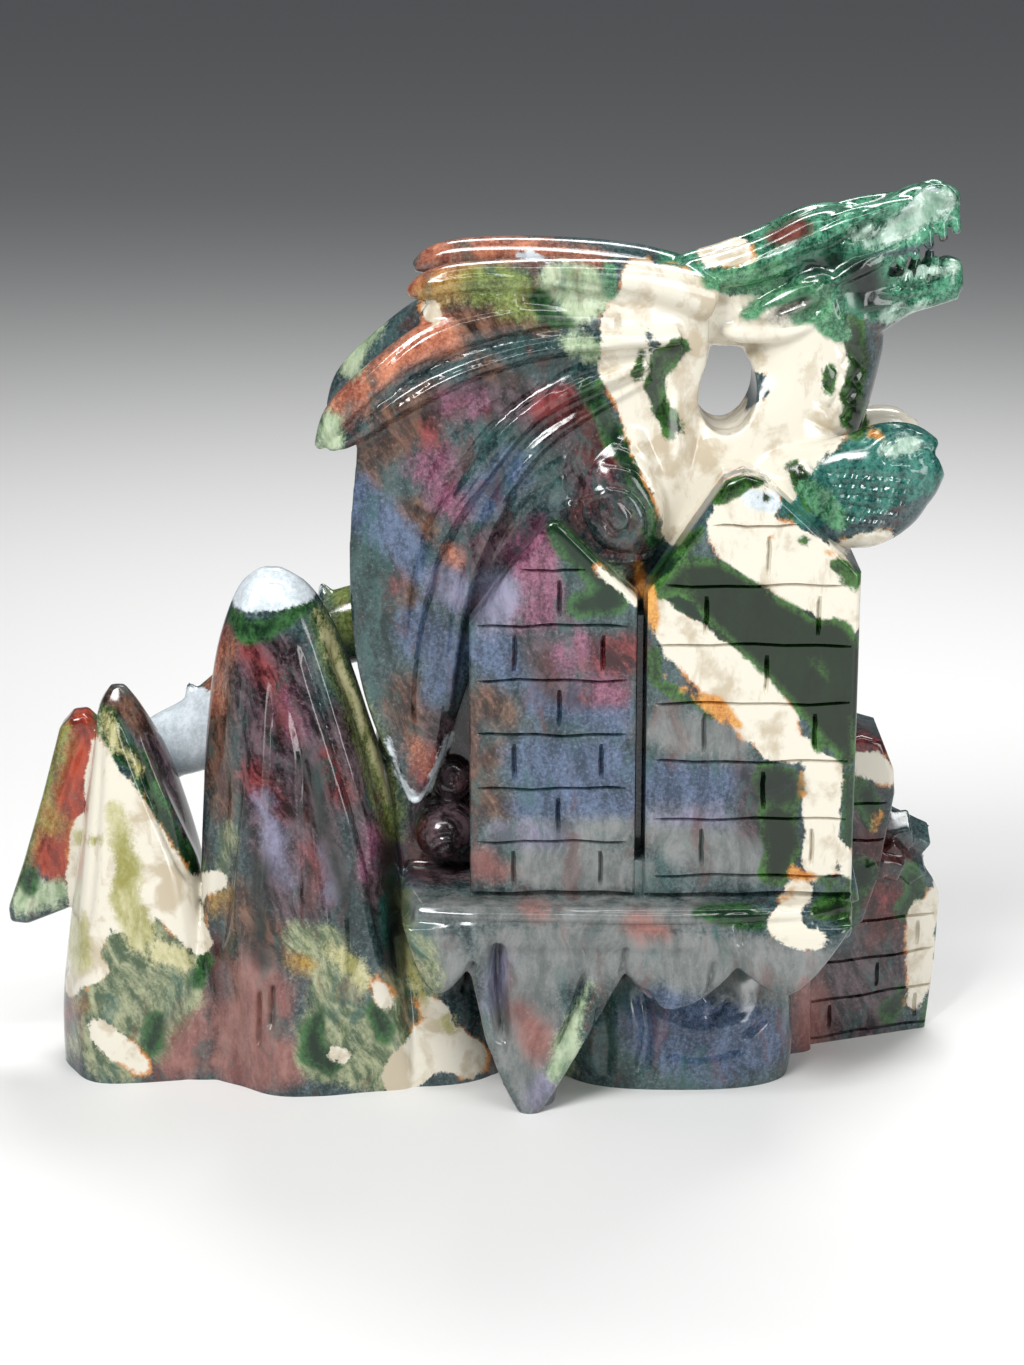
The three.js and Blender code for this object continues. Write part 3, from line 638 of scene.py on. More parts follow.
# %% Shape the horns
def horns():
    horn = [
        [117, -2, 279, 5.5, 5],
        [104, -5, 276.5, 7, 6],
        [90, -6, 270, 6.8, 6],
        [76, -5.5, 265.5, 6, 6],
        [64, -4, 264, 4.2, 5],
        [60, -3, 262, 2, 3],
    ]
    ear = [
        [112, -6, 264.5, 5, 4],
        [100, -8.4, 258.5, 5.6, 4.6],
        [88, -8.4, 253, 4.4, 4],
        [80, -7.4, 250.3, 1.6, 2],
    ]
    frill = [
        [106, -6, 253, 5, 4],
        [94, -7.6, 247.5, 4.4, 4],
        [80, -6.4, 246, 3.2, 3.4],
        [75, -5, 246.5, 1.4, 2],
    ]
    return both_sides([limb(rows, 36, 28) for rows in (horn, ear, frill)])


horn_forms = horns()
print(len(horn_forms), "horns, ears and frills")

# %% [markdown]
# ## The arms
#
# The near arm reaches forward over the castle and ends in a clenched, scaly hand.
# Palm, elbow and fingers are three limbs here, and the scales are cut into them with the other lines.
# The far arm is the same one mirrored, a little lower.


# %% Shape the arms
def arm():
    palm = [
        [84, -5, 201, 12, 10],
        [98, -13, 197.5, 14.5, 10],
        [111, -17, 198, 16.5, 10.5],
        [124, -19, 201.5, 16, 11],
        [134, -19.5, 205.5, 12.5, 10],
        [141, -19, 209, 6.5, 7],
    ]
    elbow = [
        [108, -17, 188, 7, 8],
        [119, -19.5, 189.5, 9.5, 9.5],
        [129, -20, 195, 9, 9.5],
        [137, -20, 203, 6, 7],
    ]
    fingers = [
        [99, -12, 203, 3.6, 6],
        [111, -16.5, 209, 4.2, 6.5],
        [123, -19, 214.5, 4.6, 7],
        [133, -19.5, 214.8, 4.6, 6.5],
        [140, -19.5, 211, 3.8, 5.4],
    ]
    return [limb(palm, 36, 40), limb(elbow, 24, 32), limb(fingers, 30, 28)]


def arms():
    lower = 3.5
    near = arm()
    return near + [moved(mirrored(form), [0, 0, -lower]) for form in near]


arm_forms = arms()
print(len(arm_forms), "arm forms")

# %% [markdown]
# ## The legs
#
# A thigh swells under each wing, and behind the castle a hind leg stands on the rock.


# %% Shape the legs
def haunches():
    thigh = [[46, -14, 216, 5, 6], [43, -17, 203, 13, 9], [41, -19, 188, 16, 10], [38, -17, 172, 11, 8]]
    return both_sides([limb(thigh, 30, 36)])


def hind_leg():
    upper = [[72, 26, 160, 10, 8], [66, 31, 140, 18, 11], [58, 33, 122, 15, 10], [52, 33, 108, 7, 7]]
    shin = [
        [50, 32, 128, 6, 6],
        [62, 36, 112, 7.5, 7],
        [74, 37, 96, 7, 6.5],
        [86, 38, 86, 5, 5],
        [94, 38, 83, 2.4, 3],
    ]
    return [limb(upper, 30, 32), limb(shin, 30, 28)]


leg_forms = haunches() + hind_leg()
print(len(leg_forms), "leg forms")

# %% [markdown]
# ## The tail
#
# The tail leaves the body behind, passes round the two peaks with a row of small spikes, and ends in a leaf.
# One long limb keeps its bend even, and the leaf is a slab, because it is flat.


# %% Shape the tail
def tail():
    rows = [
        [44, 18, 112, 26, 13],
        [8, 23, 134, 20, 12],
        [-24, 26, 143, 15, 11],
        [-50, 28, 140.5, 12.5, 10.5],
        [-74, 29, 123, 12.5, 10],
        [-94, 28, 106, 12.6, 10],
        [-110, 27, 98, 11, 9],
        [-121, 25, 82, 9.5, 8],
        [-128, 21, 64, 8, 7],
        [-134, 16, 54, 5, 5],
    ]
    places = [[-97, 28, 114.5], [-74, 29, 132], [-52, 28, 149], [-29, 26.5, 154.5], [-6, 24.5, 151]]
    return [limb(rows, 72, 40)] + [spike(at, [-0.35, 0, 1], 8, 4.2) for at in places]


def leaf():
    outline = [
        [-132, 117], [-136.5, 116.4], [-140.5, 112], [-147, 89], [-154.5, 65], [-160.2, 49],
        [-159.6, 44.2], [-154, 43.4], [-140, 49], [-122, 56], [-119, 74], [-127, 112],
    ]
    return slab(outline, 6, 13, 2.5)


dragon = body + wing_forms + head_forms + horn_forms + arm_forms + leg_forms + tail() + [leaf()]
print(len(dragon), "dragon forms")

# %% [markdown]
# ## The mountains
#
# Two tall fluted peaks stand at the left end, joined by a low saddle, and a spur leads on to the castle.
# Their rows are shares of a height and a width, so a peak can be made taller without drawing it again.


# %% Shape the mountains
def mountain(rows, steps, height, width, axis, **options):
    placed = [
        [z * height, axis + left * width, axis + right * width, front, back]
        for z, left, right, front, back in rows
    ]
    return rock(placed, steps, **options)


BIG_PEAK = [
    [-0.024, -0.473, 0.595, -37, 26],
    [0.176, -0.476, 0.514, -37, 25],
    [0.371, -0.478, 0.426, -34, 22],
    [0.565, -0.457, 0.365, -30, 18],
    [0.706, -0.432, 0.277, -26, 14],
    [0.829, -0.392, 0.189, -21.5, 10],
    [0.918, -0.332, 0.103, -17, 6],
    [0.971, -0.27, 0.014, -12.5, 2],
    [1, -0.189, -0.095, -8, -3],
]
SMALL_PEAK = [
    [-0.031, -0.473, 0.558, -27, 26],
    [0.154, -0.477, 0.548, -26, 25],
    [0.347, -0.427, 0.527, -23, 22],
    [0.541, -0.356, 0.446, -19, 19],
    [0.71, -0.288, 0.335, -15, 16],
    [0.834, -0.235, 0.231, -11, 12],
    [0.942, -0.183, 0.092, -7, 7],
    [1, -0.096, 0, -3, 1],
]


def mountains():
    spur = [[-4, -62, 6, -29, 20], [16, -58, 4, -26, 20], [34, -52, 0, -20, 20], [47, -46, -8, -12, 18]]
    saddle = [
        [-4, -114, -72, -23, 24],
        [30, -111, -76, -20, 22],
        [50, -106, -82, -14, 17],
        [59, -100, -88, -6, 10],
    ]
    return [
        mountain(BIG_PEAK, 60, 170, 74, -58, sides=120, flutes=6, depth=0.09, turn=1.2, power=2.5),
        mountain(SMALL_PEAK, 50, 129.5, 52, -117, sides=100, flutes=5, depth=0.08, turn=0.4, power=2.5),
        rock(saddle, 24, sides=60),
        rock(spur, 24, sides=60),
    ]


peak_forms = mountains()
print(len(peak_forms), "mountain forms")

# %% [markdown]
# ## The rock under the castle
#
# Under the ledge the rock hangs in four lobes, and one of them reaches the ground.
# The lobes are one outline carried through the depth, and a boulder and a spur fill the hollow behind them.


# %% Shape the foot rock
def foot_rock():
    core = [
        [-4, -64, 112, -8, 42],
        [30, -62, 112, -8, 41],
        [62, -56, 110, -8, 38],
        [84, -46, 104, -8, 36],
        [104, -30, 92, -6, 32],
    ]
    boulder = [
        [-4, 26, 100, -30, 12],
        [12, 24, 102, -33, 12],
        [34, 26, 101, -30, 12],
        [54, 30, 100, -22, 12],
        [64, 34, 98, -18, 12],
    ]
    middle_spur = [
        [-4, 11, 22, -44, -26],
        [8, 7, 25, -46, -22],
        [22, 4, 29, -47, -16],
        [42, 1, 36, -47, -8],
        [62, -4, 42, -47, -4],
    ]
    back_wall = [[60, -44, 44, -7, 30], [100, -38, 40, -6, 30], [135, -30, 36, -5, 28], [156, -14, 30, 0, 24]]
    return [
        rock(core, 40, sides=120, power=4, flutes=9, depth=0.04),
        rock(back_wall, 30, sides=80),
        rock(boulder, 30, sides=90),
        rock(middle_spur, 30, sides=60, power=2.4),
        apron(),
    ]


def apron():
    root = LEDGE_TOP - 6
    lobes = [
        dict(left=(-26, root), tip=(-14.5, 40.5), right=(-5, 49.5), round=(2, 1.8)),
        dict(left=(-5, 49.5), tip=(15.5, -4), right=(44.7, 47.7), round=(1.8, 1.1)),
        dict(left=(44.7, 47.7), tip=(59, 35), right=(80.5, 49.5), round=(1.5, 1.9)),
        dict(left=(80.5, 49.5), tip=(96, 39.6), right=(117, root), round=(1.5, 1.6)),
    ]

    def flank(start, end, power, shares):
        (x0, z0), (x1, z1) = start, end
        return [[x0 + (x1 - x0) * share, z0 + (z1 - z0) * share**power] for share in shares]

    contour = []
    for lobe in lobes:
        contour += flank(lobe["tip"], lobe["left"], lobe["round"][0], [1, 0.85, 0.7, 0.55, 0.4, 0.25, 0.12])
        contour += flank(lobe["tip"], lobe["right"], lobe["round"][1], [0.05, 0.2, 0.35, 0.5, 0.7, 0.85])
    contour.append(list(lobes[-1]["right"]))
    return slab(contour, TOWER_FRONT - LEDGE_REACH + 0.5, 15, 3.2)


foot_forms = foot_rock()
print(len(foot_forms), "forms under the castle")

# %% [markdown]
# ## The ledge and the recess
#
# The towers stand on a flat ledge with a rounded lip.
# In the recess to their left, a small carved foot and knob stand on it.


# %% Shape the ledge
def ledge():
    front = TOWER_FRONT - LEDGE_REACH
    outline = [
        [-26, -2], [-27, front + 22], [-22, front + 4], [-4, front], [60, front - 0.5],
        [104, front + 2], [117.5, front + 12], [118.5, front + 26], [116, -2],
    ]
    return slab(outline, LEDGE_TOP - LEDGE_THICKNESS, LEDGE_THICKNESS, 3, plane="xy")


def recess_carving():
    foot = [[-13, -6, 84, 10, 9], [-13, -14, 84, 10, 9], [-13.5, -20, 82, 8, 8], [-13.5, -23.5, 80, 3, 3]]
    return [limb(foot, 24, 32), spike([-11, -8, 99.5], [0, -1, 0], 7, 7.4, 0.9)]


rocks = peak_forms + foot_forms + [ledge()] + recess_carving()
print(len(rocks), "rock forms")

# %% [markdown]
# ## Grooves in the walls
#
# The courses of stone are cut with a thin disc, so each groove is a shallow boat that wavers a little.
# A bump in the material would vanish at the edge of the wall, so the grooves are real cuts.


# %% Cut the courses
GROOVE_PROFILE = [(-0.8, 0.5), (0, 1), (0.8, 0.5), (1.25, -0.8), (-1.25, -0.8)]


def groove(start, end, face, wander, half_width=0.55, depth=GROOVE_DEPTH):
    start, end = np.array(start, float), np.array(end, float)
    length = np.linalg.norm(end - start)
    steps = max(6, int(length / 3))
    share = np.linspace(0, 1, steps + 1)
    level = end - start
    across = np.array([-level[1], level[0]]) / length
    wave = 0.28 * np.sin(7.1 * share + wander) + 0.2 * np.sin(17.0 * share + 2.3 * wander)
    middle = start + share[:, None] * level + (wave * min(1, length / 30))[:, None] * across
    taper = np.clip(np.minimum(share, 1 - share) * length / 2.2, 0.05, 1) ** 0.5
    rings = []
    for (x, z), t in zip(middle, taper):
        half, deep = half_width * (0.6 + 0.4 * t), depth * t
        rings.append([
            [x + across[0] * half * a, face + deep * b, z + across[1] * half * a] for a, b in GROOVE_PROFILE
        ])
    return skin(rings)


def brickwork(heights, eaves, slope, left, right, single, pair, face, margin=2.6):
    wide = right - left
    cuts = []
    for row, z in enumerate(heights):
        inset = margin + max(0, z - eaves) * slope
        cuts.append(groove([left + inset, z], [right - inset, z], face, wander=row * 1.7 + left))
    if face < TOWER_FRONT + 1:
        foot = LEDGE_TOP + 0.8
        cuts.append(groove([left - 1, foot], [right + 1, foot], face, left + 2, half_width=1.3, depth=3))
    for row, (top, bottom) in enumerate(zip(heights, heights[1:])):
        gap = (top - bottom) * 0.17
        for k, share in enumerate(single if row % 2 == 0 else pair):
            x = left + share * wide
            top_end = [x + 0.3 * math.sin(row + k), top - gap]
            wander = row + 2 * k
            cuts.append(groove([x, bottom + gap], top_end, face, wander, half_width=0.85, depth=1.9))
    return cuts


print("grooves are ready")

# %% [markdown]
# ## The towers
#
# Two gabled towers stand side by side on the ledge, parted by a deep slot.
# Their walls are flat and their corners crisp, and a melt would round both.
# So they stay out of it and are joined to the stone at the end.


# %% Shape the towers
def tower_outline(tower, blunt):
    ridge_at, ridge = tower["ridge_at"], tower["ridge"]
    return [
        [tower["left"], LEDGE_TOP - 3],
        [tower["right"], LEDGE_TOP - 3],
        [tower["right"], tower["far_eaves"]],
        [ridge_at + blunt, ridge - blunt * 0.35],
        [ridge_at, ridge],
        [ridge_at - blunt, ridge - blunt * 0.35],
        [tower["left"], tower["eaves"]],
    ]


def castle():
    middle = (LEFT_TOWER["right"] + RIGHT_TOWER["left"]) / 2
    solids = [
        slab(tower_outline(LEFT_TOWER, 2), TOWER_FRONT, TOWER_DEPTH, 2.2),
        slab(tower_outline(RIGHT_TOWER, 6), TOWER_FRONT - 1, TOWER_DEPTH, 2.2),
        block(
            [middle - 6, TOWER_FRONT + 1, LEDGE_TOP - 2],
            [middle + 6, TOWER_FRONT + TOWER_DEPTH, LEFT_TOWER["eaves"]],
        ),
    ]
    slot_heights = (LEDGE_TOP + 12, 110, 150, RIGHT_TOWER["far_eaves"] + 4)
    slot = [[middle, TOWER_FRONT - 3, z, 1.7, 16] for z in slot_heights]
    left_step = (LEFT_TOWER["eaves"] - LEDGE_TOP) / 5.05
    right_step = (RIGHT_TOWER["far_eaves"] - 4 - LEDGE_TOP) / 5.4
    cuts = [limb(slot, 12, 16, 5)]
    cuts += brickwork(
        [LEFT_TOWER["eaves"] + left_step * (1 - i) for i in range(7)], LEFT_TOWER["eaves"], 0.75,
        LEFT_TOWER["left"], LEFT_TOWER["right"] - 1, [0.54], [0.27, 0.8], TOWER_FRONT)
    cuts += brickwork(
        [RIGHT_TOWER["far_eaves"] - 4 + right_step * (1 - i) for i in range(7)], RIGHT_TOWER["eaves"], 0.75,
        RIGHT_TOWER["left"] + 1, RIGHT_TOWER["right"], [0.56], [0.27, 0.8], TOWER_FRONT - 1)
    return solids, cuts


towers, tower_cuts = castle()
print(len(tower_cuts), "cuts in the towers")

# %% [markdown]
# ## The low walls
#
# At the right end a low wall turns away from the front, and the stump of a back tower stands behind it.
# The wall is drawn flat like the others and turned into place with its grooves.


# %% Shape the low walls
def turned(form, degrees, place):
    cosine, sine = math.cos(math.radians(degrees)), math.sin(math.radians(degrees))
    turn = np.array([[cosine, sine, 0], [-sine, cosine, 0], [0, 0, 1]])
    return form[0] @ turn + np.array(place), form[1]


def low_wall():
    long, high = 54.5, 56
    outline = [
        [0, -4], [long - 4, -4], [long - 1, high * 0.45], [long, high * 0.86], [long - 3, high * 0.97],
        [long - 12, high * 1.2], [long - 24, high * 1.3], [0, high * 1.1],
    ]
    step = high * 0.235
    cuts = brickwork([2.5 + i * step for i in (3, 2, 1, 0)], high, 0, -8, long, [0.34, 0.86], [0.08, 0.62], 0)
    place = [104, 5, 0]
    return [turned(slab(outline, 0, 30, 2), 20.5, place)], [turned(cut, 20.5, place) for cut in cuts]


def back_tower():
    left, right, front, depth, eaves, ridge = 100, 135.7, 2, 30, 99, 109
    outline = [
        [left, 30], [right - 9.5, 46], [right - 5, 62], [right - 0.5, eaves - 8], [right - 1, eaves],
        [right - 5, ridge], [right - 12, ridge + 2], [left, ridge - 4],
    ]
    heights = [LEDGE_TOP + (eaves - LEDGE_TOP) * (share * 2 - 0.82) for share in (0.72, 0.5)]
    cuts = [groove([left + 4, z], [right - 3, z], front, wander=z) for z in heights]
    return [slab(outline, front, depth, 2)], cuts


walls, wall_cuts = low_wall()
back_walls, back_cuts = back_tower()
print(len(wall_cuts) + len(back_cuts), "cuts in the low walls")

# %% [markdown]
# ## The tumbled slabs
#
# Between the low wall and the towers lie five small slabs, each leaning its own way, and a pointed rock.


# %% Shape the tumbled slabs
SLAB_PITCH = 0.35


def roof_slabs():
    places = [
        [124, 8, 62, 9, 5, 4, -30],
        [131, 10, 66, 8, 6, 4, 15],
        [139, 14, 66, 9, 6, 4, 48],
        [133, 16, 73, 10, 6, 4, -12],
        [141, 20, 72, 8, 6, 4, 30],
    ]
    made = []
    for x, y, z, wide, deep, thick, lean in places:
        face = [[-wide, -thick], [wide, -thick], [wide, thick], [-wide, thick]]
        points, faces = slab(face, -deep, 2 * deep, 1)
        cosine, sine = math.cos(math.radians(lean)), math.sin(math.radians(lean))
        about_y = np.array([[cosine, 0, -sine], [0, 1, 0], [sine, 0, cosine]])
        cosine, sine = math.cos(SLAB_PITCH), math.sin(SLAB_PITCH)
        about_x = np.array([[1, 0, 0], [0, cosine, sine], [0, -sine, cosine]])
        made.append((points @ about_y @ about_x + [x, y, z], faces))
    return made


rubble = roof_slabs() + [spike([117, -20, 62], [0, 0.1, 1], 18, 5, 0.3)]
print(len(rubble), "pieces of rubble")

# %% [markdown]
# ## One stone
#
# The free forms are melted into one skin of small voxels.
# Then the opening and the mouth are cut and the teeth joined, and a second melt evens out the new edges.

# %% Melt the free forms together
free = to_object("free_forms", dragon + rocks + rubble)
remeshed(free, VOXEL)
combined(free, to_object("opening", [opening()]), "DIFFERENCE")
combined(free, to_object("mouth", [mouth()]), "DIFFERENCE")
bite = to_object("teeth", both_sides(teeth()))
remeshed(bite, VOXEL / 2)
combined(free, bite, "UNION")
remeshed(free, VOXEL)
print(len(free.data.vertices), "points in the free forms")

# %% [markdown]
# ## Polish
#
# The voxels leave small steps, which polishing takes off.
# Each round moves every point part of the way to the middle of its neighbours, and then a little back.
# Without the way back, the thin wing tips and the teeth would shrink.


# %% Polish the skin
IN_AND_OUT = [0.6, -0.62]


def polished(made, rounds):
    points = points_of(made)
    count = len(points)
    ends = np.empty(2 * len(made.data.edges), np.int32)
    made.data.edges.foreach_get("vertices", ends)
    a, b = ends[0::2], ends[1::2]
    degree = np.bincount(a, minlength=count) + np.bincount(b, minlength=count)
    for amount in IN_AND_OUT * rounds:
        total = np.stack([
            np.bincount(a, points[b, k], count) + np.bincount(b, points[a, k], count) for k in range(3)
        ], axis=1)
        points += amount * (total / degree[:, None] - points)
    put_points(made, points)


polished(free, 6)
print("the polished skin reaches from", np.round(points_of(free).min(axis=0), 1), "mm")

# %% [markdown]
# ## Cut lines and raised lines
#
# Fine grooves and ridges run along the wing, the head, the scaly hand and the rock.
# Each line is drawn in the photograph's pixels.
# It has a width and a height in millimetres, and the height of a groove is negative.
# It also has a reach: the least and the most depth of the skin that it works on.
# Lines on a texture would look flat from the side, so the skin itself is moved.

# %% Draw the lines of the wing
WING_SKIN = (-60, -4)
HEAD_SKIN = (-40, 3)
FRONT_SKIN = (-60, 90)

DRAGON_LINES = [
    ([(430, 279), (480, 272), (540, 277), (600, 288), (650, 300)], 1.0, -0.8, WING_SKIN),
    ([(440, 288), (520, 284), (590, 298), (630, 308)], 0.9, -0.5, WING_SKIN),
    ([(347, 426), (410, 372), (477, 347), (543, 331), (600, 329)], 0.9, -1.0, WING_SKIN),
    ([(393, 397), (447, 363), (510, 340), (577, 333), (620, 334)], 0.8, 0.6, WING_SKIN),
    ([(360, 434), (435, 380), (510, 354), (560, 344), (612, 342)], 0.9, -1.0, WING_SKIN),
    ([(352, 400), (406, 346), (450, 322), (520, 306)], 0.9, -0.6, WING_SKIN),
    (
        [
            (618, 361), (577, 374), (535, 405), (497, 438), (460, 488), (431, 530), (418, 575),
        ],
        1.0, 0.9, WING_SKIN,
    ),
    ([(612, 356), (570, 367), (527, 397), (488, 430), (451, 480), (424, 520)], 0.9, -0.7, WING_SKIN),
    ([(615, 366), (583, 382), (543, 413), (505, 447), (468, 496), (438, 540)], 0.9, -0.8, WING_SKIN),
    ([(602, 367), (560, 397), (512, 444), (474, 499), (449, 545), (440, 590)], 0.8, 0.5, WING_SKIN),
    ([(568, 430), (518, 463), (485, 505), (464, 551)], 0.7, -0.5, WING_SKIN),
    ([(577, 447), (535, 472), (497, 513), (477, 559)], 0.7, -0.5, WING_SKIN),
    ([(581, 463), (543, 488), (510, 526), (489, 563)], 0.7, -0.5, WING_SKIN),
    ([(500, 395), (455, 430), (425, 480), (408, 530)], 0.8, -0.4, WING_SKIN),
    ([(430, 600), (418, 680), (420, 756)], 0.9, -0.6, WING_SKIN),
    ([(455, 590), (446, 670), (436, 745)], 0.9, 0.5, WING_SKIN),
    (
        [
            (350, 590), (360, 660), (387, 740), (406, 792), (419, 797), (430, 788), (452, 730),
        ],
        0.8, -0.7, WING_SKIN,
    ),
    ([(380, 560), (378, 640), (396, 720)], 1.2, -0.4, WING_SKIN),
    ([(577, 438), (568, 472), (572, 508)], 1.0, -0.8, WING_SKIN),
    ([(577, 497), (583, 524), (602, 549), (636, 556)], 0.9, -1.1, WING_SKIN),
    ([(602, 511), (612, 532), (628, 530), (632, 514), (618, 500)], 0.9, -1.0, WING_SKIN),
    ([(604, 484), (632, 492), (648, 514), (648, 536)], 0.9, -1.0, WING_SKIN),
    ([(600, 462), (634, 470), (656, 496)], 0.9, -0.8, WING_SKIN),
    ([(543, 517), (581, 500), (614, 491)], 0.8, 0.8, WING_SKIN),
    ([(593, 556), (627, 561), (658, 552)], 0.8, 0.9, WING_SKIN),
    ([(612, 440), (640, 456), (664, 486)], 0.9, -0.6, WING_SKIN),
]
print(len(DRAGON_LINES), "lines on the wing and the shoulder")

# %% [markdown]
# ## Lines on the head
#
# Fine lines round the nostril, the brow, the eye and the lips give the head its look.
# Each is a groove or a ridge less than 3 mm high, too fine for the melt to keep.

# %% Draw the lines of the head
DRAGON_LINES += [
    ([(916, 203), (929, 191), (944, 188), (951, 197), (949, 208), (939, 212)], 0.8, -0.9, HEAD_SKIN),
    ([(750, 272), (796, 250), (826, 239), (856, 221), (890, 209)], 1.0, 0.9, HEAD_SKIN),
    ([(752, 281), (798, 259), (830, 248), (850, 236)], 1.0, -1.0, HEAD_SKIN),
    ([(710, 274), (746, 261), (783, 244), (819, 228), (856, 211), (880, 203)], 0.9, -0.8, HEAD_SKIN),
    (
        [
            (852, 240), (856, 229), (868, 222), (882, 223), (875, 232), (861, 240), (852, 240),
        ],
        0.7, -1.1, HEAD_SKIN,
    ),
    ([(860, 233), (868, 230), (874, 227)], 1.0, 0.7, HEAD_SKIN),
    ([(839, 251), (866, 243), (892, 226), (926, 212)], 0.8, -0.8, HEAD_SKIN),
    ([(846, 257), (873, 252), (902, 238), (926, 224)], 0.8, -0.7, HEAD_SKIN),
    ([(884, 215), (905, 207), (918, 196)], 0.8, -0.6, HEAD_SKIN),
    ([(888, 277), (902, 270), (912, 267)], 1.0, -1.5, HEAD_SKIN),
    ([(893, 279), (918, 281), (930, 274), (957, 269)], 0.9, 0.7, HEAD_SKIN),
    ([(866, 268), (880, 258), (905, 254), (925, 246)], 0.9, -0.7, HEAD_SKIN),
    ([(889, 287), (922, 284), (952, 270)], 0.9, -0.7, HEAD_SKIN),
    ([(876, 300), (905, 300), (940, 290)], 0.9, -0.6, HEAD_SKIN),
    ([(856, 316), (892, 307), (930, 296)], 0.9, -0.5, HEAD_SKIN),
    ([(775, 315), (790, 308), (808, 300)], 1.1, -2.2, HEAD_SKIN),
    ([(743, 313), (760, 296), (789, 283), (818, 280)], 1.1, -1.3, HEAD_SKIN),
    ([(768, 328), (796, 327), (820, 308), (826, 288)], 1.0, -1.1, HEAD_SKIN),
    ([(826, 288), (838, 300), (842, 318)], 1.0, -0.8, HEAD_SKIN),
    ([(786, 262), (812, 264), (838, 274)], 0.9, -0.7, HEAD_SKIN),
]
print(len(DRAGON_LINES), "lines with those of the head")

# %% [markdown]
# ## Lines on the throat and the hand
#
# Short plates cross the throat, and the hand is covered in small scales.
# Two sets of rows that cross each other leave scales between them, as the carver's wheel does.

# %% Draw the lines of the throat and the hand
DRAGON_LINES += [
    ([(838, 345), (853, 357), (868, 372)], 0.7, -0.8, HEAD_SKIN),
    ([(828, 362), (848, 378), (866, 394)], 0.7, -0.8, HEAD_SKIN),
    ([(822, 382), (842, 397), (862, 412)], 0.7, -0.8, HEAD_SKIN),
    ([(815, 400), (836, 414), (858, 428)], 0.7, -0.7, HEAD_SKIN),
    ([(806, 418), (828, 430), (850, 442)], 0.7, -0.6, HEAD_SKIN),
    ([(850, 354), (842, 366)], 0.7, -0.8, HEAD_SKIN),
    ([(862, 370), (853, 382)], 0.7, -0.8, HEAD_SKIN),
    ([(842, 374), (834, 386)], 0.7, -0.8, HEAD_SKIN),
    ([(856, 390), (847, 402)], 0.7, -0.8, HEAD_SKIN),
    ([(838, 396), (830, 410)], 0.7, -0.8, HEAD_SKIN),
    ([(850, 408), (842, 422)], 0.7, -0.8, HEAD_SKIN),
    ([(864, 443), (884, 429), (909, 424), (934, 433)], 1.0, -1.2, HEAD_SKIN),
    ([(886, 466), (880, 453), (895, 438), (920, 431)], 0.9, -1.0, HEAD_SKIN),
    ([(912, 460), (918, 449), (929, 447), (935, 456), (926, 463)], 0.8, -0.9, HEAD_SKIN),
    ([(888, 464), (903, 462), (922, 468)], 0.9, -0.9, HEAD_SKIN),
    ([(800, 466), (805, 478), (806, 492)], 0.7, -0.6, HEAD_SKIN),
    ([(806, 462), (811, 474), (813, 488)], 0.7, -0.6, HEAD_SKIN),
]
SCALE_ROWS = [
    (
        [(845 + 12 * i, 460 + 2 * i), (829 + 12 * i, 500 + 3 * i), (815 + 12 * i, 528 + 3 * i)],
        0.7, -0.75, HEAD_SKIN,
    )
    for i in range(7)
] + [
    ([(826 + 3 * i, 472 + 11 * i), (872, 476 + 11 * i), (920 - 4 * i, 480 + 11 * i)], 0.7, -0.75, HEAD_SKIN)
    for i in range(6)
]
print(len(SCALE_ROWS), "rows of scales")

# %% [markdown]
# ## Lines on the rock
#
# Long grooves run down the peaks, short slits are sunk into them, and the hanging rock has a deep crease.
# The knob in the recess carries a small diamond, which is a line that ends where it starts.

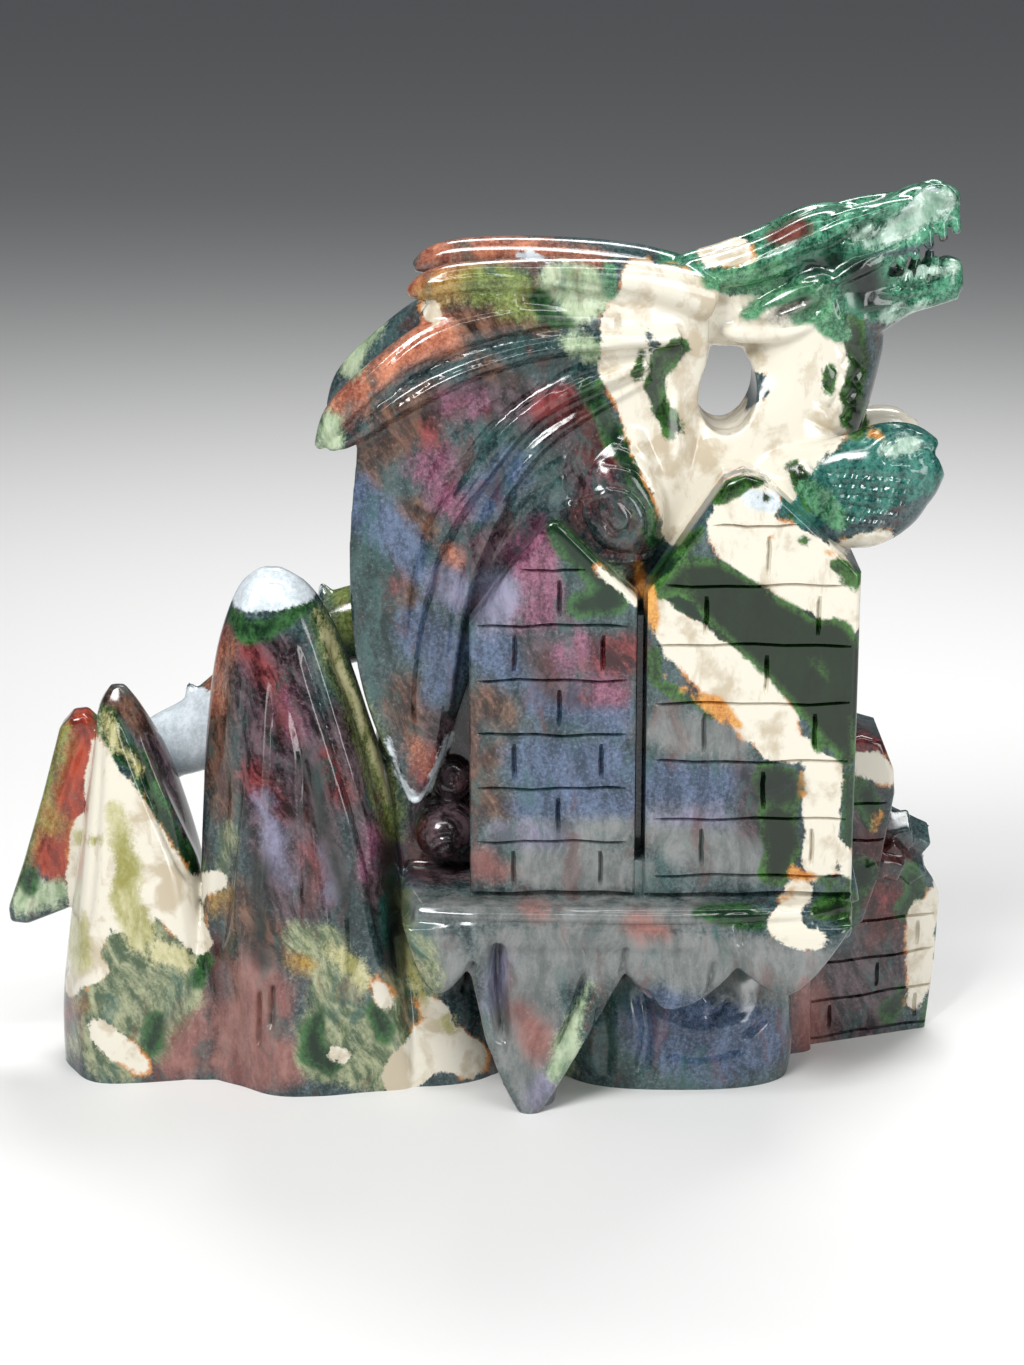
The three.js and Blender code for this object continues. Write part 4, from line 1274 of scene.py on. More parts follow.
# %% Draw the lines of the rock
ROCK_LINES = [
    ([(250, 650), (240, 760), (226, 880), (216, 960)], 2.1, -2.2, FRONT_SKIN),
    ([(275, 660), (270, 780), (262, 900), (254, 990)], 1.7, -1.6, FRONT_SKIN),
    ([(300, 640), (340, 760), (370, 860), (386, 960)], 1.7, -2.8, FRONT_SKIN),
    ([(290, 700), (315, 820), (332, 935)], 1.6, -1.6, FRONT_SKIN),
    ([(232, 720), (222, 830), (212, 950)], 1.6, -1.2, FRONT_SKIN),
    ([(300, 760), (306, 860), (304, 960)], 1.6, -1.4, FRONT_SKIN),
    ([(330, 640), (365, 740), (394, 850)], 1.6, -1.8, FRONT_SKIN),
    ([(258, 990), (256, 1048)], 0.9, -3.0, FRONT_SKIN),
    ([(272, 985), (270, 1030)], 1.0, -2.8, FRONT_SKIN),
    ([(350, 900), (352, 980), (340, 1040)], 1.8, -1.6, FRONT_SKIN),
    ([(118, 715), (150, 800), (192, 884)], 1.6, -2.2, FRONT_SKIN),
    ([(100, 730), (95, 830), (86, 930)], 1.8, -1.4, FRONT_SKIN),
    ([(132, 720), (160, 790), (200, 872)], 1.6, 1.4, FRONT_SKIN),
    ([(150, 900), (140, 980), (150, 1060)], 2.1, -1.2, FRONT_SKIN),
    ([(84, 730), (60, 800), (30, 892)], 1.6, -1.4, FRONT_SKIN),
    ([(498, 945), (498, 990), (504, 1044)], 2.0, -7.2, FRONT_SKIN),
    ([(586, 972), (570, 1020), (556, 1050)], 1.0, -2.6, FRONT_SKIN),
    ([(560, 1046), (546, 1080)], 1.0, -1.2, FRONT_SKIN),
    ([(474, 962), (464, 994)], 1.1, -2.6, FRONT_SKIN),
    ([(626, 948), (622, 976)], 0.9, -1.8, FRONT_SKIN),
    ([(740, 925), (742, 946)], 1.2, -2.2, FRONT_SKIN),
    ([(714, 960), (708, 1000)], 1.1, -2.0, FRONT_SKIN),
    ([(404, 921), (560, 925), (700, 927), (828, 920)], 1.0, -1.1, FRONT_SKIN),
    ([(404, 909), (560, 911), (700, 913), (828, 908)], 0.7, -0.5, FRONT_SKIN),
    ([(480, 980), (492, 1060), (504, 1090)], 1.2, 0.9, FRONT_SKIN),
    ([(640, 990), (646, 1030), (640, 1078)], 2.6, -3.4, FRONT_SKIN),
    ([(600, 1000), (606, 1040), (604, 1078)], 2.6, -1.8, FRONT_SKIN),
    ([(650, 1012), (700, 1030), (760, 1016)], 2.4, 1.6, FRONT_SKIN),
    ([(708, 1018), (722, 1008), (730, 1000)], 1.0, -1.6, FRONT_SKIN),
    ([(742, 1038), (756, 1028), (766, 1018)], 1.0, -1.6, FRONT_SKIN),
    ([(662, 1050), (700, 1058), (750, 1046)], 1.8, -1.2, FRONT_SKIN),
    ([(448, 778), (452, 774), (456, 778), (452, 782), (448, 778)], 0.6, -0.9, FRONT_SKIN),
    ([(443, 778), (452, 769), (461, 778), (452, 787), (443, 778)], 0.6, -0.9, FRONT_SKIN),
    ([(428, 848), (440, 838), (456, 838), (466, 850)], 0.7, -0.9, FRONT_SKIN),
    ([(432, 858), (442, 847), (454, 847), (462, 858)], 0.7, -0.9, FRONT_SKIN),
]
print(len(ROCK_LINES), "lines on the rock")

# %% [markdown]
# ## Cutting the lines
#
# The skin that faces the camera under a line is pushed in or drawn out along its own normals.
# Open lines fade out at their ends, as a cut by a small wheel does.
# The dragon's lines are cut on its far side too, and the rock's are not.


# %% Cut the lines
FULLY_FACING = 0.3


def cut_lines(points, normals, lines, side):
    spots = seen(points * [1, side, 1])
    facing = normals @ [0, -side * math.cos(CAMERA_RISE), math.sin(CAMERA_RISE)]
    facing = np.clip(facing / FULLY_FACING, 0, 1)
    pushed = np.zeros(len(points))
    for line, width, height, reach in lines:
        path = eased(line, 6 * len(line))
        margin = 4 * width * PIXELS_PER_MM
        low, high = path.min(axis=0) - margin, path.max(axis=0) + margin
        depth = side * points[:, 1]
        near = (spots > low).all(axis=1) & (spots < high).all(axis=1)
        near &= (depth > reach[0]) & (depth < reach[1])
        here = spots[near]
        nearest, share = np.full(len(here), np.inf), np.zeros(len(here))
        for i, (start, end) in enumerate(zip(path, path[1:])):
            along = end - start
            part = np.clip((here - start) @ along / (along @ along), 0, 1)
            away = np.linalg.norm(here - start - part[:, None] * along, axis=1)
            closer = away < nearest
            nearest[closer], share[closer] = away[closer], (i + part[closer]) / (len(path) - 1)
        closed = np.allclose(path[0], path[-1])
        fade = 1 if closed else np.clip(6 * share * (1 - share) + 0.15, 0, 1)
        pushed[near] += height * fade * np.exp(-(nearest / PIXELS_PER_MM / width) ** 2)
    return normals * (pushed * facing)[:, None]


skin_points, skin_normals = points_of(free), normals_of(free)
moves = cut_lines(skin_points, skin_normals, DRAGON_LINES + SCALE_ROWS + ROCK_LINES, 1)
moves += cut_lines(skin_points, skin_normals, DRAGON_LINES, -1)
put_points(free, skin_points + moves)
polished(free, 1)
print("the deepest cut moves the skin", round(float(np.linalg.norm(moves, axis=1).max()), 1), "mm")

# %% [markdown]
# ## Joining the castle
#
# The masonry is cut with its grooves first and joined to the skin after, so its corners stay crisp.
# Whatever hangs below the ground is cut off flat, because the stone stands on a sawn face.


# %% Join the castle to the skin
stone = free
for solids, cuts in ((towers, tower_cuts), (walls, wall_cuts), (back_walls, back_cuts)):
    masonry = to_object("masonry", solids[:1])
    for extra in solids[1:]:
        combined(masonry, to_object("extra", [extra]), "UNION")
    for cut in cuts:
        combined(masonry, to_object("cut", [cut]), "DIFFERENCE")
    combined(stone, masonry, "UNION")
combined(stone, to_object("below", [block([-400, -300, -100], [400, 300, 0])]), "DIFFERENCE")
print(len(stone.data.polygons), "faces before thinning")

# %% [markdown]
# ## Fewer and more even faces
#
# The melt has far more small faces than the forms need.
# Decimating keeps many where the surface bends and few where it is flat.
# The pattern of the stone is kept on the points, so the long edges of the flat walls are split again.


# %% Thin the mesh and split its long edges
def thinned(made, triangles):
    change = made.modifiers.new("thin", "DECIMATE")
    change.ratio = triangles / sum(len(face.vertices) - 2 for face in made.data.polygons)
    return settled(made)


def refined(made, longest):
    work = bmesh.new()
    work.from_mesh(made.data)
    bmesh.ops.triangulate(work, faces=work.faces)
    bmesh.ops.dissolve_degenerate(work, dist=SLIVER / 1000, edges=work.edges)
    bmesh.ops.triangulate(work, faces=work.faces)
    for _ in range(5):
        long = [edge for edge in work.edges if edge.calc_length() > longest / 1000]
        bmesh.ops.subdivide_edges(work, edges=long, cuts=1, use_single_edge=True, use_grid_fill=True)
        bmesh.ops.triangulate(work, faces=work.faces)
    work.to_mesh(made.data)
    work.free()


thinned(stone, STONE_TRIANGLES)
refined(stone, LONGEST_EDGE)
stone.name = "dragon_castle_stone"
stone.data.name = "dragon_castle_stone"
put_points(stone, np.clip(points_of(stone) + shift, node_low, node_high))
print(len(stone.data.polygons), "faces in the stone")
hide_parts(NODE)
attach(stone, "root")
stone.data.shade_smooth()
stone.data.set_sharp_from_angle(angle=SHARP_FROM)

# %% [markdown]
# ## The pattern in the stone
#
# The jasper's colours lie in broad zones that run through the block, and a few bands are painted highlight
# and painted shade.
# An image texture would carry them only from the front, so each zone is a few listed bands.
# A band is given by its middle line, in the photograph's pixels, and its half width.
# A reach keeps a band to the skin between two depths, such as the castle's front or what lies behind it.

# %% Place the dark and grey zones
ANY = (-90, 90)
CASTLE = (-60, -22)
BEHIND = (-27, 90)
WING = (-60, 0)
FAR = (8, 90)
RIGHT = (-8, 90)

ZONES = {
    "umber": [
        (ANY, [(224, 650, 10), (215, 750, 12), (226, 810, 9)]),
        (ANY, [(240, 900, 18), (262, 930, 22), (292, 945, 14)]),
        (ANY, [(112, 700, 14), (134, 712, 18), (148, 730, 10)]),
        (WING, [(440, 322, 14), (500, 322, 16), (545, 330, 10)]),
        (WING, [(398, 420, 22), (430, 402, 18), (380, 450, 16)]),
        (WING, [(415, 512, 14), (424, 530, 10)]),
        (WING, [(486, 372, 14), (512, 386, 10)]),
        (WING, [(405, 700, 18), (425, 740, 16)]),
        (CASTLE, [(490, 700, 14), (505, 712, 14)]),
        (CASTLE, [(485, 800, 12), (508, 812, 12)]),
        (ANY, [(300, 720, 10), (318, 770, 10)]),
        (WING, [(366, 450, 12), (374, 482, 10)]),
        (WING, [(404, 560, 8), (412, 600, 8)]),
        (CASTLE, [(474, 700, 4), (474, 780, 4)]),
        (CASTLE, [(484, 762, 9), (492, 756, 9)]),
    ],
    "deep": [
        (WING, [(366, 545, 16), (378, 590, 20), (372, 640, 14)]),
        (WING, [(420, 470, 10), (470, 520, 14), (500, 540, 12)]),
        (WING, [(520, 348, 14), (560, 356, 16), (578, 372, 12)]),
        (WING, [(500, 440, 12), (530, 412, 12)]),
        (WING, [(560, 470, 18), (590, 440, 16)]),
        (ANY, [(268, 870, 12), (276, 900, 12)]),
        (ANY, [(330, 690, 8), (352, 760, 10), (376, 840, 10)]),
        (ANY, [(205, 870, 8), (203, 960, 8)]),
        (ANY, [(602, 1000, 18), (618, 1040, 22), (622, 1074, 16)]),
    ],
    "slate": [
        (CASTLE, [(490, 650, 20), (510, 668, 16)]),
        (CASTLE, [(545, 700, 22), (580, 710, 18), (622, 718, 16)]),
        (CASTLE, [(535, 765, 26), (600, 768, 26), (630, 770, 16)]),
        (CASTLE, [(530, 808, 20), (600, 808, 22), (628, 805, 18)]),
        (CASTLE, [(655, 785, 20), (700, 785, 22), (728, 785, 18)]),
        (WING, [(362, 488, 12), (370, 515, 16), (396, 542, 14), (422, 570, 14), (455, 594, 14)]),
        (WING, [(420, 630, 22), (450, 650, 18), (440, 690, 12)]),
        (WING, [(480, 500, 18), (510, 470, 16)]),
        (ANY, [(660, 1020, 36), (720, 1040, 38), (770, 1035, 26)]),
        (ANY, [(400, 840, 12), (404, 880, 10)]),
    ],
    "ash": [
        (ANY, [(400, 905, 12), (560, 912, 16), (720, 915, 16)]),
        (ANY, [(420, 940, 24), (450, 970, 24)]),
        (ANY, [(510, 955, 32), (600, 955, 32), (650, 960, 24)]),
        (ANY, [(520, 1000, 36), (530, 1060, 34), (540, 1100, 24)]),
        (ANY, [(680, 960, 28), (760, 970, 28), (815, 970, 20)]),
        (CASTLE, [(540, 866, 24), (600, 870, 26), (640, 872, 12)]),
        (CASTLE, [(500, 832, 9), (560, 834, 9), (630, 832, 9)]),
        (CASTLE, [(655, 728, 18), (700, 735, 22), (735, 742, 16)]),
        (CASTLE, [(660, 836, 18), (700, 845, 24), (745, 855, 22)]),
        (ANY, [(950, 1035, 8), (900, 1050, 8)]),
    ],
    "plum": [
        (ANY, [(270, 670, 34), (290, 780, 46), (300, 880, 44)]),
        (ANY, [(340, 720, 16), (372, 820, 20), (380, 900, 16)]),
        (ANY, [(156, 752, 16), (178, 806, 18), (194, 850, 10)]),
        (BEHIND, [(450, 740, 26), (440, 850, 34)]),
        (RIGHT, [(780, 980, 40), (850, 1000, 44), (880, 960, 30)]),
        (RIGHT, [(862, 830, 26), (850, 870, 24)]),
        (WING, [(480, 400, 18), (520, 400, 16), (560, 430, 18)]),
        (WING, [(500, 545, 20), (470, 560, 16)]),
        (CASTLE, [(542, 656, 16), (556, 690, 10)]),
        (CASTLE, [(748, 778, 7), (752, 828, 9)]),
        (WING, [(585, 470, 16), (600, 500, 18)]),
    ],
}
print(len(ZONES), "zones so far")

# %% [markdown]
# ## Red, violet and ochre zones
#
# Iron colours this kind of stone red, rust and ochre.
# Zones that come later lie over earlier ones, so the order of the names matters.

# %% Place the red, violet and ochre zones
ZONES.update({
    "oxblood": [
        (BEHIND, [(586, 515, 18), (614, 534, 24), (632, 548, 14)]),
        (BEHIND, [(566, 408, 16), (592, 420, 14), (598, 455, 14)]),
        (RIGHT, [(868, 885, 20), (892, 905, 24), (880, 920, 20)]),
        (RIGHT, [(876, 846, 12), (900, 856, 12)]),
        (ANY, [(212, 940, 5), (219, 1000, 7), (213, 1060, 8)]),
        (RIGHT, [(852, 738, 12), (872, 748, 10)]),
        (ANY, [(416, 842, 12), (410, 862, 10)]),
    ],
    "rose": [
        (ANY, [(182, 1000, 22), (178, 1050, 26)]),
        (ANY, [(240, 1020, 26), (250, 1052, 34), (285, 1062, 22)]),
        (ANY, [(250, 975, 18), (275, 1000, 18)]),
        (CASTLE, [(482, 866, 12), (500, 872, 9)]),
        (ANY, [(640, 926, 10), (660, 930, 6)]),
        (ANY, [(528, 908, 5), (540, 910, 5)]),
        (ANY, [(812, 1000, 14), (806, 1040, 14)]),
        (ANY, [(540, 1050, 12), (520, 1010, 10)]),
    ],
    "maroon": [
        (ANY, [(84, 728, 20), (66, 790, 24), (52, 845, 25), (60, 872, 14)]),
    ],
    "garnet": [
        (ANY, [(250, 650, 4), (270, 680, 6), (292, 724, 6)]),
        (ANY, [(328, 760, 5), (344, 800, 6)]),
        (ANY, [(252, 770, 6), (276, 812, 7)]),
        (ANY, [(310, 850, 5), (330, 890, 6)]),
        (CASTLE, [(596, 655, 14), (612, 656, 20), (634, 650, 14)]),
        (CASTLE, [(580, 700, 6), (612, 690, 10)]),
        (WING, [(545, 408, 9), (562, 398, 11)]),
        (BEHIND, [(598, 452, 8), (616, 470, 11)]),
        (WING, [(395, 582, 5), (398, 590, 4)]),
        (WING, [(425, 760, 8), (421, 775, 5)]),
        (WING, [(430, 430, 8), (434, 446, 8)]),
        (ANY, [(68, 1010, 6), (70, 1030, 7)]),
        (RIGHT, [(868, 742, 8), (880, 750, 6)]),
        (RIGHT, [(905, 905, 8), (884, 900, 8)]),
    ],
    "magenta": [
        (WING, [(450, 402, 12), (470, 400, 12)]),
        (WING, [(420, 470, 12), (436, 470, 18), (442, 494, 12)]),
        (WING, [(448, 500, 10), (458, 515, 8)]),
        (CASTLE, [(542, 542, 14), (530, 566, 20), (520, 590, 10)]),
        (CASTLE, [(545, 590, 12), (546, 616, 12), (520, 618, 8)]),
        (CASTLE, [(580, 645, 12), (566, 660, 10)]),
        (CASTLE, [(600, 690, 12), (620, 694, 8)]),
        (ANY, [(372, 838, 8), (366, 870, 6)]),
        (ANY, [(286, 700, 8), (298, 730, 6)]),
        (WING, [(520, 555, 14), (540, 530, 8)]),
    ],
    "lilac": [
        (CASTLE, [(498, 592, 18), (492, 612, 16)]),
        (CASTLE, [(500, 832, 6), (560, 836, 6)]),
        (WING, [(440, 584, 12), (462, 600, 10)]),
        (ANY, [(500, 960, 8), (494, 1000, 8)]),
        (ANY, [(545, 1085, 9), (534, 1100, 8)]),
        (ANY, [(262, 800, 2), (276, 840, 4), (284, 880, 2)]),
        (ANY, [(322, 850, 1), (336, 900, 2)]),
        (CASTLE, [(660, 815, 7), (720, 818, 6)]),
    ],
    "rust": [
        (WING, [(340, 412, 11), (372, 376, 13), (412, 348, 12), (450, 342, 8)]),
        (WING, [(408, 294, 10), (418, 281, 12), (440, 272, 8)]),
        (ANY, [(430, 253, 10), (500, 250, 9), (565, 253, 7), (600, 262, 4)]),
        (WING, [(424, 328, 12), (446, 330, 9)]),
        (WING, [(418, 748, 4), (421, 765, 5)]),
        (WING, [(450, 552, 2), (452, 556, 2)]),
        (ANY, [(213, 700, 3), (224, 630, 3)]),
    ],
    "ochre": [
        (WING, [(424, 296, 7), (446, 288, 9), (470, 283, 10)]),
        (ANY, [(300, 962, 7), (318, 964, 8)]),
        (ANY, [(48, 822, 8), (60, 824, 6)]),
        (ANY, [(92, 1000, 10), (112, 1006, 10)]),
        (ANY, [(216, 890, 6), (214, 906, 5)]),
    ],
})
print(len(ZONES), "zones so far")

# %% [markdown]
# ## Green zones
#
# The greens run from dark moss to the bright emerald and teal of the head.
# Each green has its own tones, so each gets bands of its own.

# %% Place the green zones
ZONES.update({
    "olive": [
        (ANY, [(320, 615, 4), (332, 652, 5), (352, 694, 6), (372, 744, 7), (386, 792, 8), (395, 832, 4)]),
        (ANY, [(66, 728, 3), (36, 818, 3), (14, 892, 3)]),
        (WING, [(478, 288, 12), (500, 284, 14), (524, 290, 14)]),
        (WING, [(506, 306, 8), (536, 312, 10)]),
        (ANY, [(395, 880, 3), (402, 930, 4), (420, 975, 4)]),
        (FAR, [(345, 590, 10), (350, 630, 12)]),
    ],
    "sage": [
        (WING, [(560, 280, 20), (590, 290, 22), (575, 312, 14)]),
        (WING, [(575, 345, 12), (600, 350, 9)]),
        (ANY, [(330, 425, 12), (332, 440, 12)]),
        (ANY, [(370, 320, 14), (352, 365, 10)]),
        (ANY, [(24, 900, 12), (58, 892, 12)]),
        (ANY, [(560, 1068, 12), (572, 1030, 6), (588, 985, 4)]),
        (RIGHT, [(800, 760, 5), (806, 750, 6)]),
        (CASTLE, [(608, 572, 8), (622, 590, 8)]),
    ],
    "meadow": [
        (ANY, [(110, 960, 46), (160, 985, 42), (120, 1040, 40)]),
        (ANY, [(120, 900, 20), (150, 940, 26), (180, 970, 22)]),
        (ANY, [(80, 950, 14), (110, 985, 22), (145, 985, 20)]),
        (ANY, [(86, 1040, 18), (120, 1062, 16), (150, 1050, 14)]),
        (ANY, [(392, 985, 14), (410, 1010, 12)]),
        (ANY, [(336, 990, 26), (330, 1050, 34), (370, 1060, 30), (388, 1030, 28), (404, 1000, 16)]),
        (ANY, [(300, 935, 14), (330, 945, 16), (352, 980, 14)]),
        (ANY, [(418, 950, 14), (430, 985, 10)]),
        (ANY, [(228, 830, 4), (222, 880, 5)]),
    ],
    "moss": [
        (CASTLE, [(680, 580, 30), (740, 610, 40), (800, 640, 46), (836, 700, 30)]),
        (CASTLE, [(848, 780, 8), (850, 860, 8)]),
        (ANY, [(232, 616, 7), (246, 630, 10), (262, 632, 10), (288, 616, 8), (312, 602, 5)]),
        (ANY, [(318, 622, 5), (330, 640, 6)]),
        (
            ANY,
            [
                (106, 716, 11), (118, 748, 13), (140, 762, 11), (148, 790, 8), (166, 824, 9),
                (194, 868, 10), (202, 884, 6),
            ],
        ),
        (ANY, [(318, 1010, 8), (312, 1050, 12), (330, 1066, 10)]),
        (ANY, [(372, 1008, 8), (384, 1030, 10)]),
        (ANY, [(158, 1020, 10), (150, 1046, 10)]),
        (ANY, [(28, 878, 9), (30, 890, 6)]),
        (WING, [(540, 300, 10), (544, 316, 8), (570, 322, 6)]),
        (
            BEHIND,
            [
                (584, 384, 8), (602, 412, 10), (618, 442, 11), (632, 472, 11), (642, 504, 11),
                (654, 538, 9),
            ],
        ),
        (CASTLE, [(556, 528, 9), (576, 552, 14), (598, 574, 12), (612, 600, 16), (580, 606, 12)]),
        (ANY, [(700, 912, 8), (745, 915, 12), (760, 918, 10)]),
        (ANY, [(828, 900, 10), (842, 902, 16), (846, 920, 10)]),
        (RIGHT, [(852, 776, 7), (866, 796, 13), (876, 818, 10)]),
        (RIGHT, [(862, 872, 14), (858, 886, 10)]),
        (RIGHT, [(912, 872, 10), (916, 892, 9), (902, 912, 9)]),
        (RIGHT, [(952, 930, 13), (950, 980, 13), (935, 1020, 12)]),
        (RIGHT, [(890, 1010, 12), (905, 990, 8)]),
        (ANY, [(205, 960, 7), (198, 980, 8)]),
    ],
    "teal": [
        (WING, [(800, 490, 40), (860, 470, 46), (930, 445, 46)]),
        (ANY, [(395, 940, 8), (385, 900, 8)]),
    ],
    "emerald": [
        (ANY, [(690, 262, 30), (760, 245, 36), (860, 218, 40), (950, 198, 34)]),
        (ANY, [(750, 298, 26), (850, 288, 32), (955, 285, 28)]),
    ],
})
print(len(ZONES), "zones so far")

# %% [markdown]
# ## Pale zones
#
# Cream bands cross the neck, the right tower and the low peak, and the tall peak has a white cap. The white
# also draws a thin painted highlight along the top of the wing's arm.

# %% Place the pale zones
ZONES.update({
    "cream": [
        (
            BEHIND,
            [
                (640, 280, 20), (640, 300, 22), (622, 330, 22), (628, 372, 28), (652, 410, 32),
                (668, 450, 34), (686, 490, 34), (690, 520, 30),
            ],
        ),
        (BEHIND, [(670, 300, 34), (700, 330, 40), (700, 400, 44), (710, 460, 40)]),
        ((-24, 90), [(700, 500, 50), (780, 450, 50), (820, 400, 40), (800, 340, 44), (740, 330, 34)]),
        (FAR, [(865, 412, 16), (920, 416, 16)]),
        (ANY, [(838, 548, 7), (885, 538, 7)]),
        (
            CASTLE,
            [
                (750, 500, 30), (740, 530, 34), (775, 556, 36), (812, 574, 36), (842, 602, 28),
                (850, 618, 16),
            ],
        ),
        (
            CASTLE,
            [
                (652, 600, 7), (664, 616, 13), (684, 642, 24), (715, 668, 28), (745, 692, 32),
                (770, 722, 28), (780, 742, 22), (806, 752, 14),
            ],
        ),
        (CASTLE, [(822, 772, 19), (822, 820, 19), (820, 862, 18)]),
        (ANY, [(800, 890, 12), (790, 904, 14), (784, 922, 17), (796, 938, 12), (818, 940, 10)]),
        (ANY, [(96, 745, 6), (106, 790, 24), (132, 836, 28), (158, 876, 28), (182, 916, 22), (198, 942, 12)]),
        (ANY, [(188, 890, 12), (218, 880, 10)]),
        (ANY, [(90, 830, 18), (88, 880, 22), (92, 925, 20), (76, 956, 14)]),
        (ANY, [(120, 850, 30), (130, 900, 34)]),
        (ANY, [(74, 985, 9), (98, 972, 10)]),
        (ANY, [(96, 1030, 9), (118, 1048, 15), (142, 1066, 9)]),
        (ANY, [(400, 1078, 15), (436, 1044, 26), (466, 1056, 20)]),
        (ANY, [(422, 1002, 7), (440, 1012, 10)]),
        (ANY, [(376, 982, 6), (384, 1000, 10)]),
        (ANY, [(334, 1052, 5), (342, 1056, 7)]),
        (RIGHT, [(858, 762, 9), (872, 766, 14), (888, 776, 12)]),
        (RIGHT, [(940, 888, 9), (936, 904, 12), (920, 918, 13), (922, 970, 13), (912, 1000, 9)]),
        (ANY, [(712, 256, 12), (742, 250, 12)]),
        (ANY, [(716, 306, 11), (740, 322, 12)]),
        (CASTLE, [(598, 570, 3), (622, 588, 5), (636, 600, 5)]),
        (CASTLE, [(845, 850, 5), (850, 872, 8)]),
        (ANY, [(430, 310, 8), (436, 318, 4)]),
    ],
    "white_and_painted_highlight": [
        (WING, [(388, 742, 2), (406, 790, 2), (417, 801, 3), (428, 790, 2), (450, 735, 2)]),
        (FAR, [(150, 720, 40), (205, 735, 45), (190, 790, 45)]),
        (ANY, [(252, 590, 22), (272, 584, 28), (302, 588, 16)]),
        (ANY, [(906, 220, 10), (932, 202, 12)]),
        (CASTLE, [(752, 498, 10), (772, 504, 12)]),
        # A painted highlight: a thin white line along the top of the wing's arm.
        (ANY, [(520, 256, 4), (560, 263, 3)]),
    ],
    "lichen": [
        (ANY, [(106, 712, 3), (118, 746, 4), (138, 768, 3)]),
        (ANY, [(112, 804, 6), (118, 830, 9), (126, 862, 13), (124, 900, 14), (140, 930, 16)]),
        (ANY, [(80, 838, 5), (96, 842, 4)]),
        (ANY, [(74, 925, 10), (80, 960, 8)]),
        (ANY, [(160, 950, 9), (184, 958, 8)]),
        (ANY, [(330, 950, 5), (350, 962, 8), (362, 980, 6)]),
        (ANY, [(318, 612, 1), (336, 660, 2), (356, 706, 2), (380, 762, 3), (390, 800, 2)]),
        (ANY, [(448, 1020, 4), (452, 1028, 4)]),
        (ANY, [(393, 890, 3), (400, 940, 3), (412, 976, 4), (424, 1002, 4)]),
    ],
})
print(len(ZONES), "zones so far")
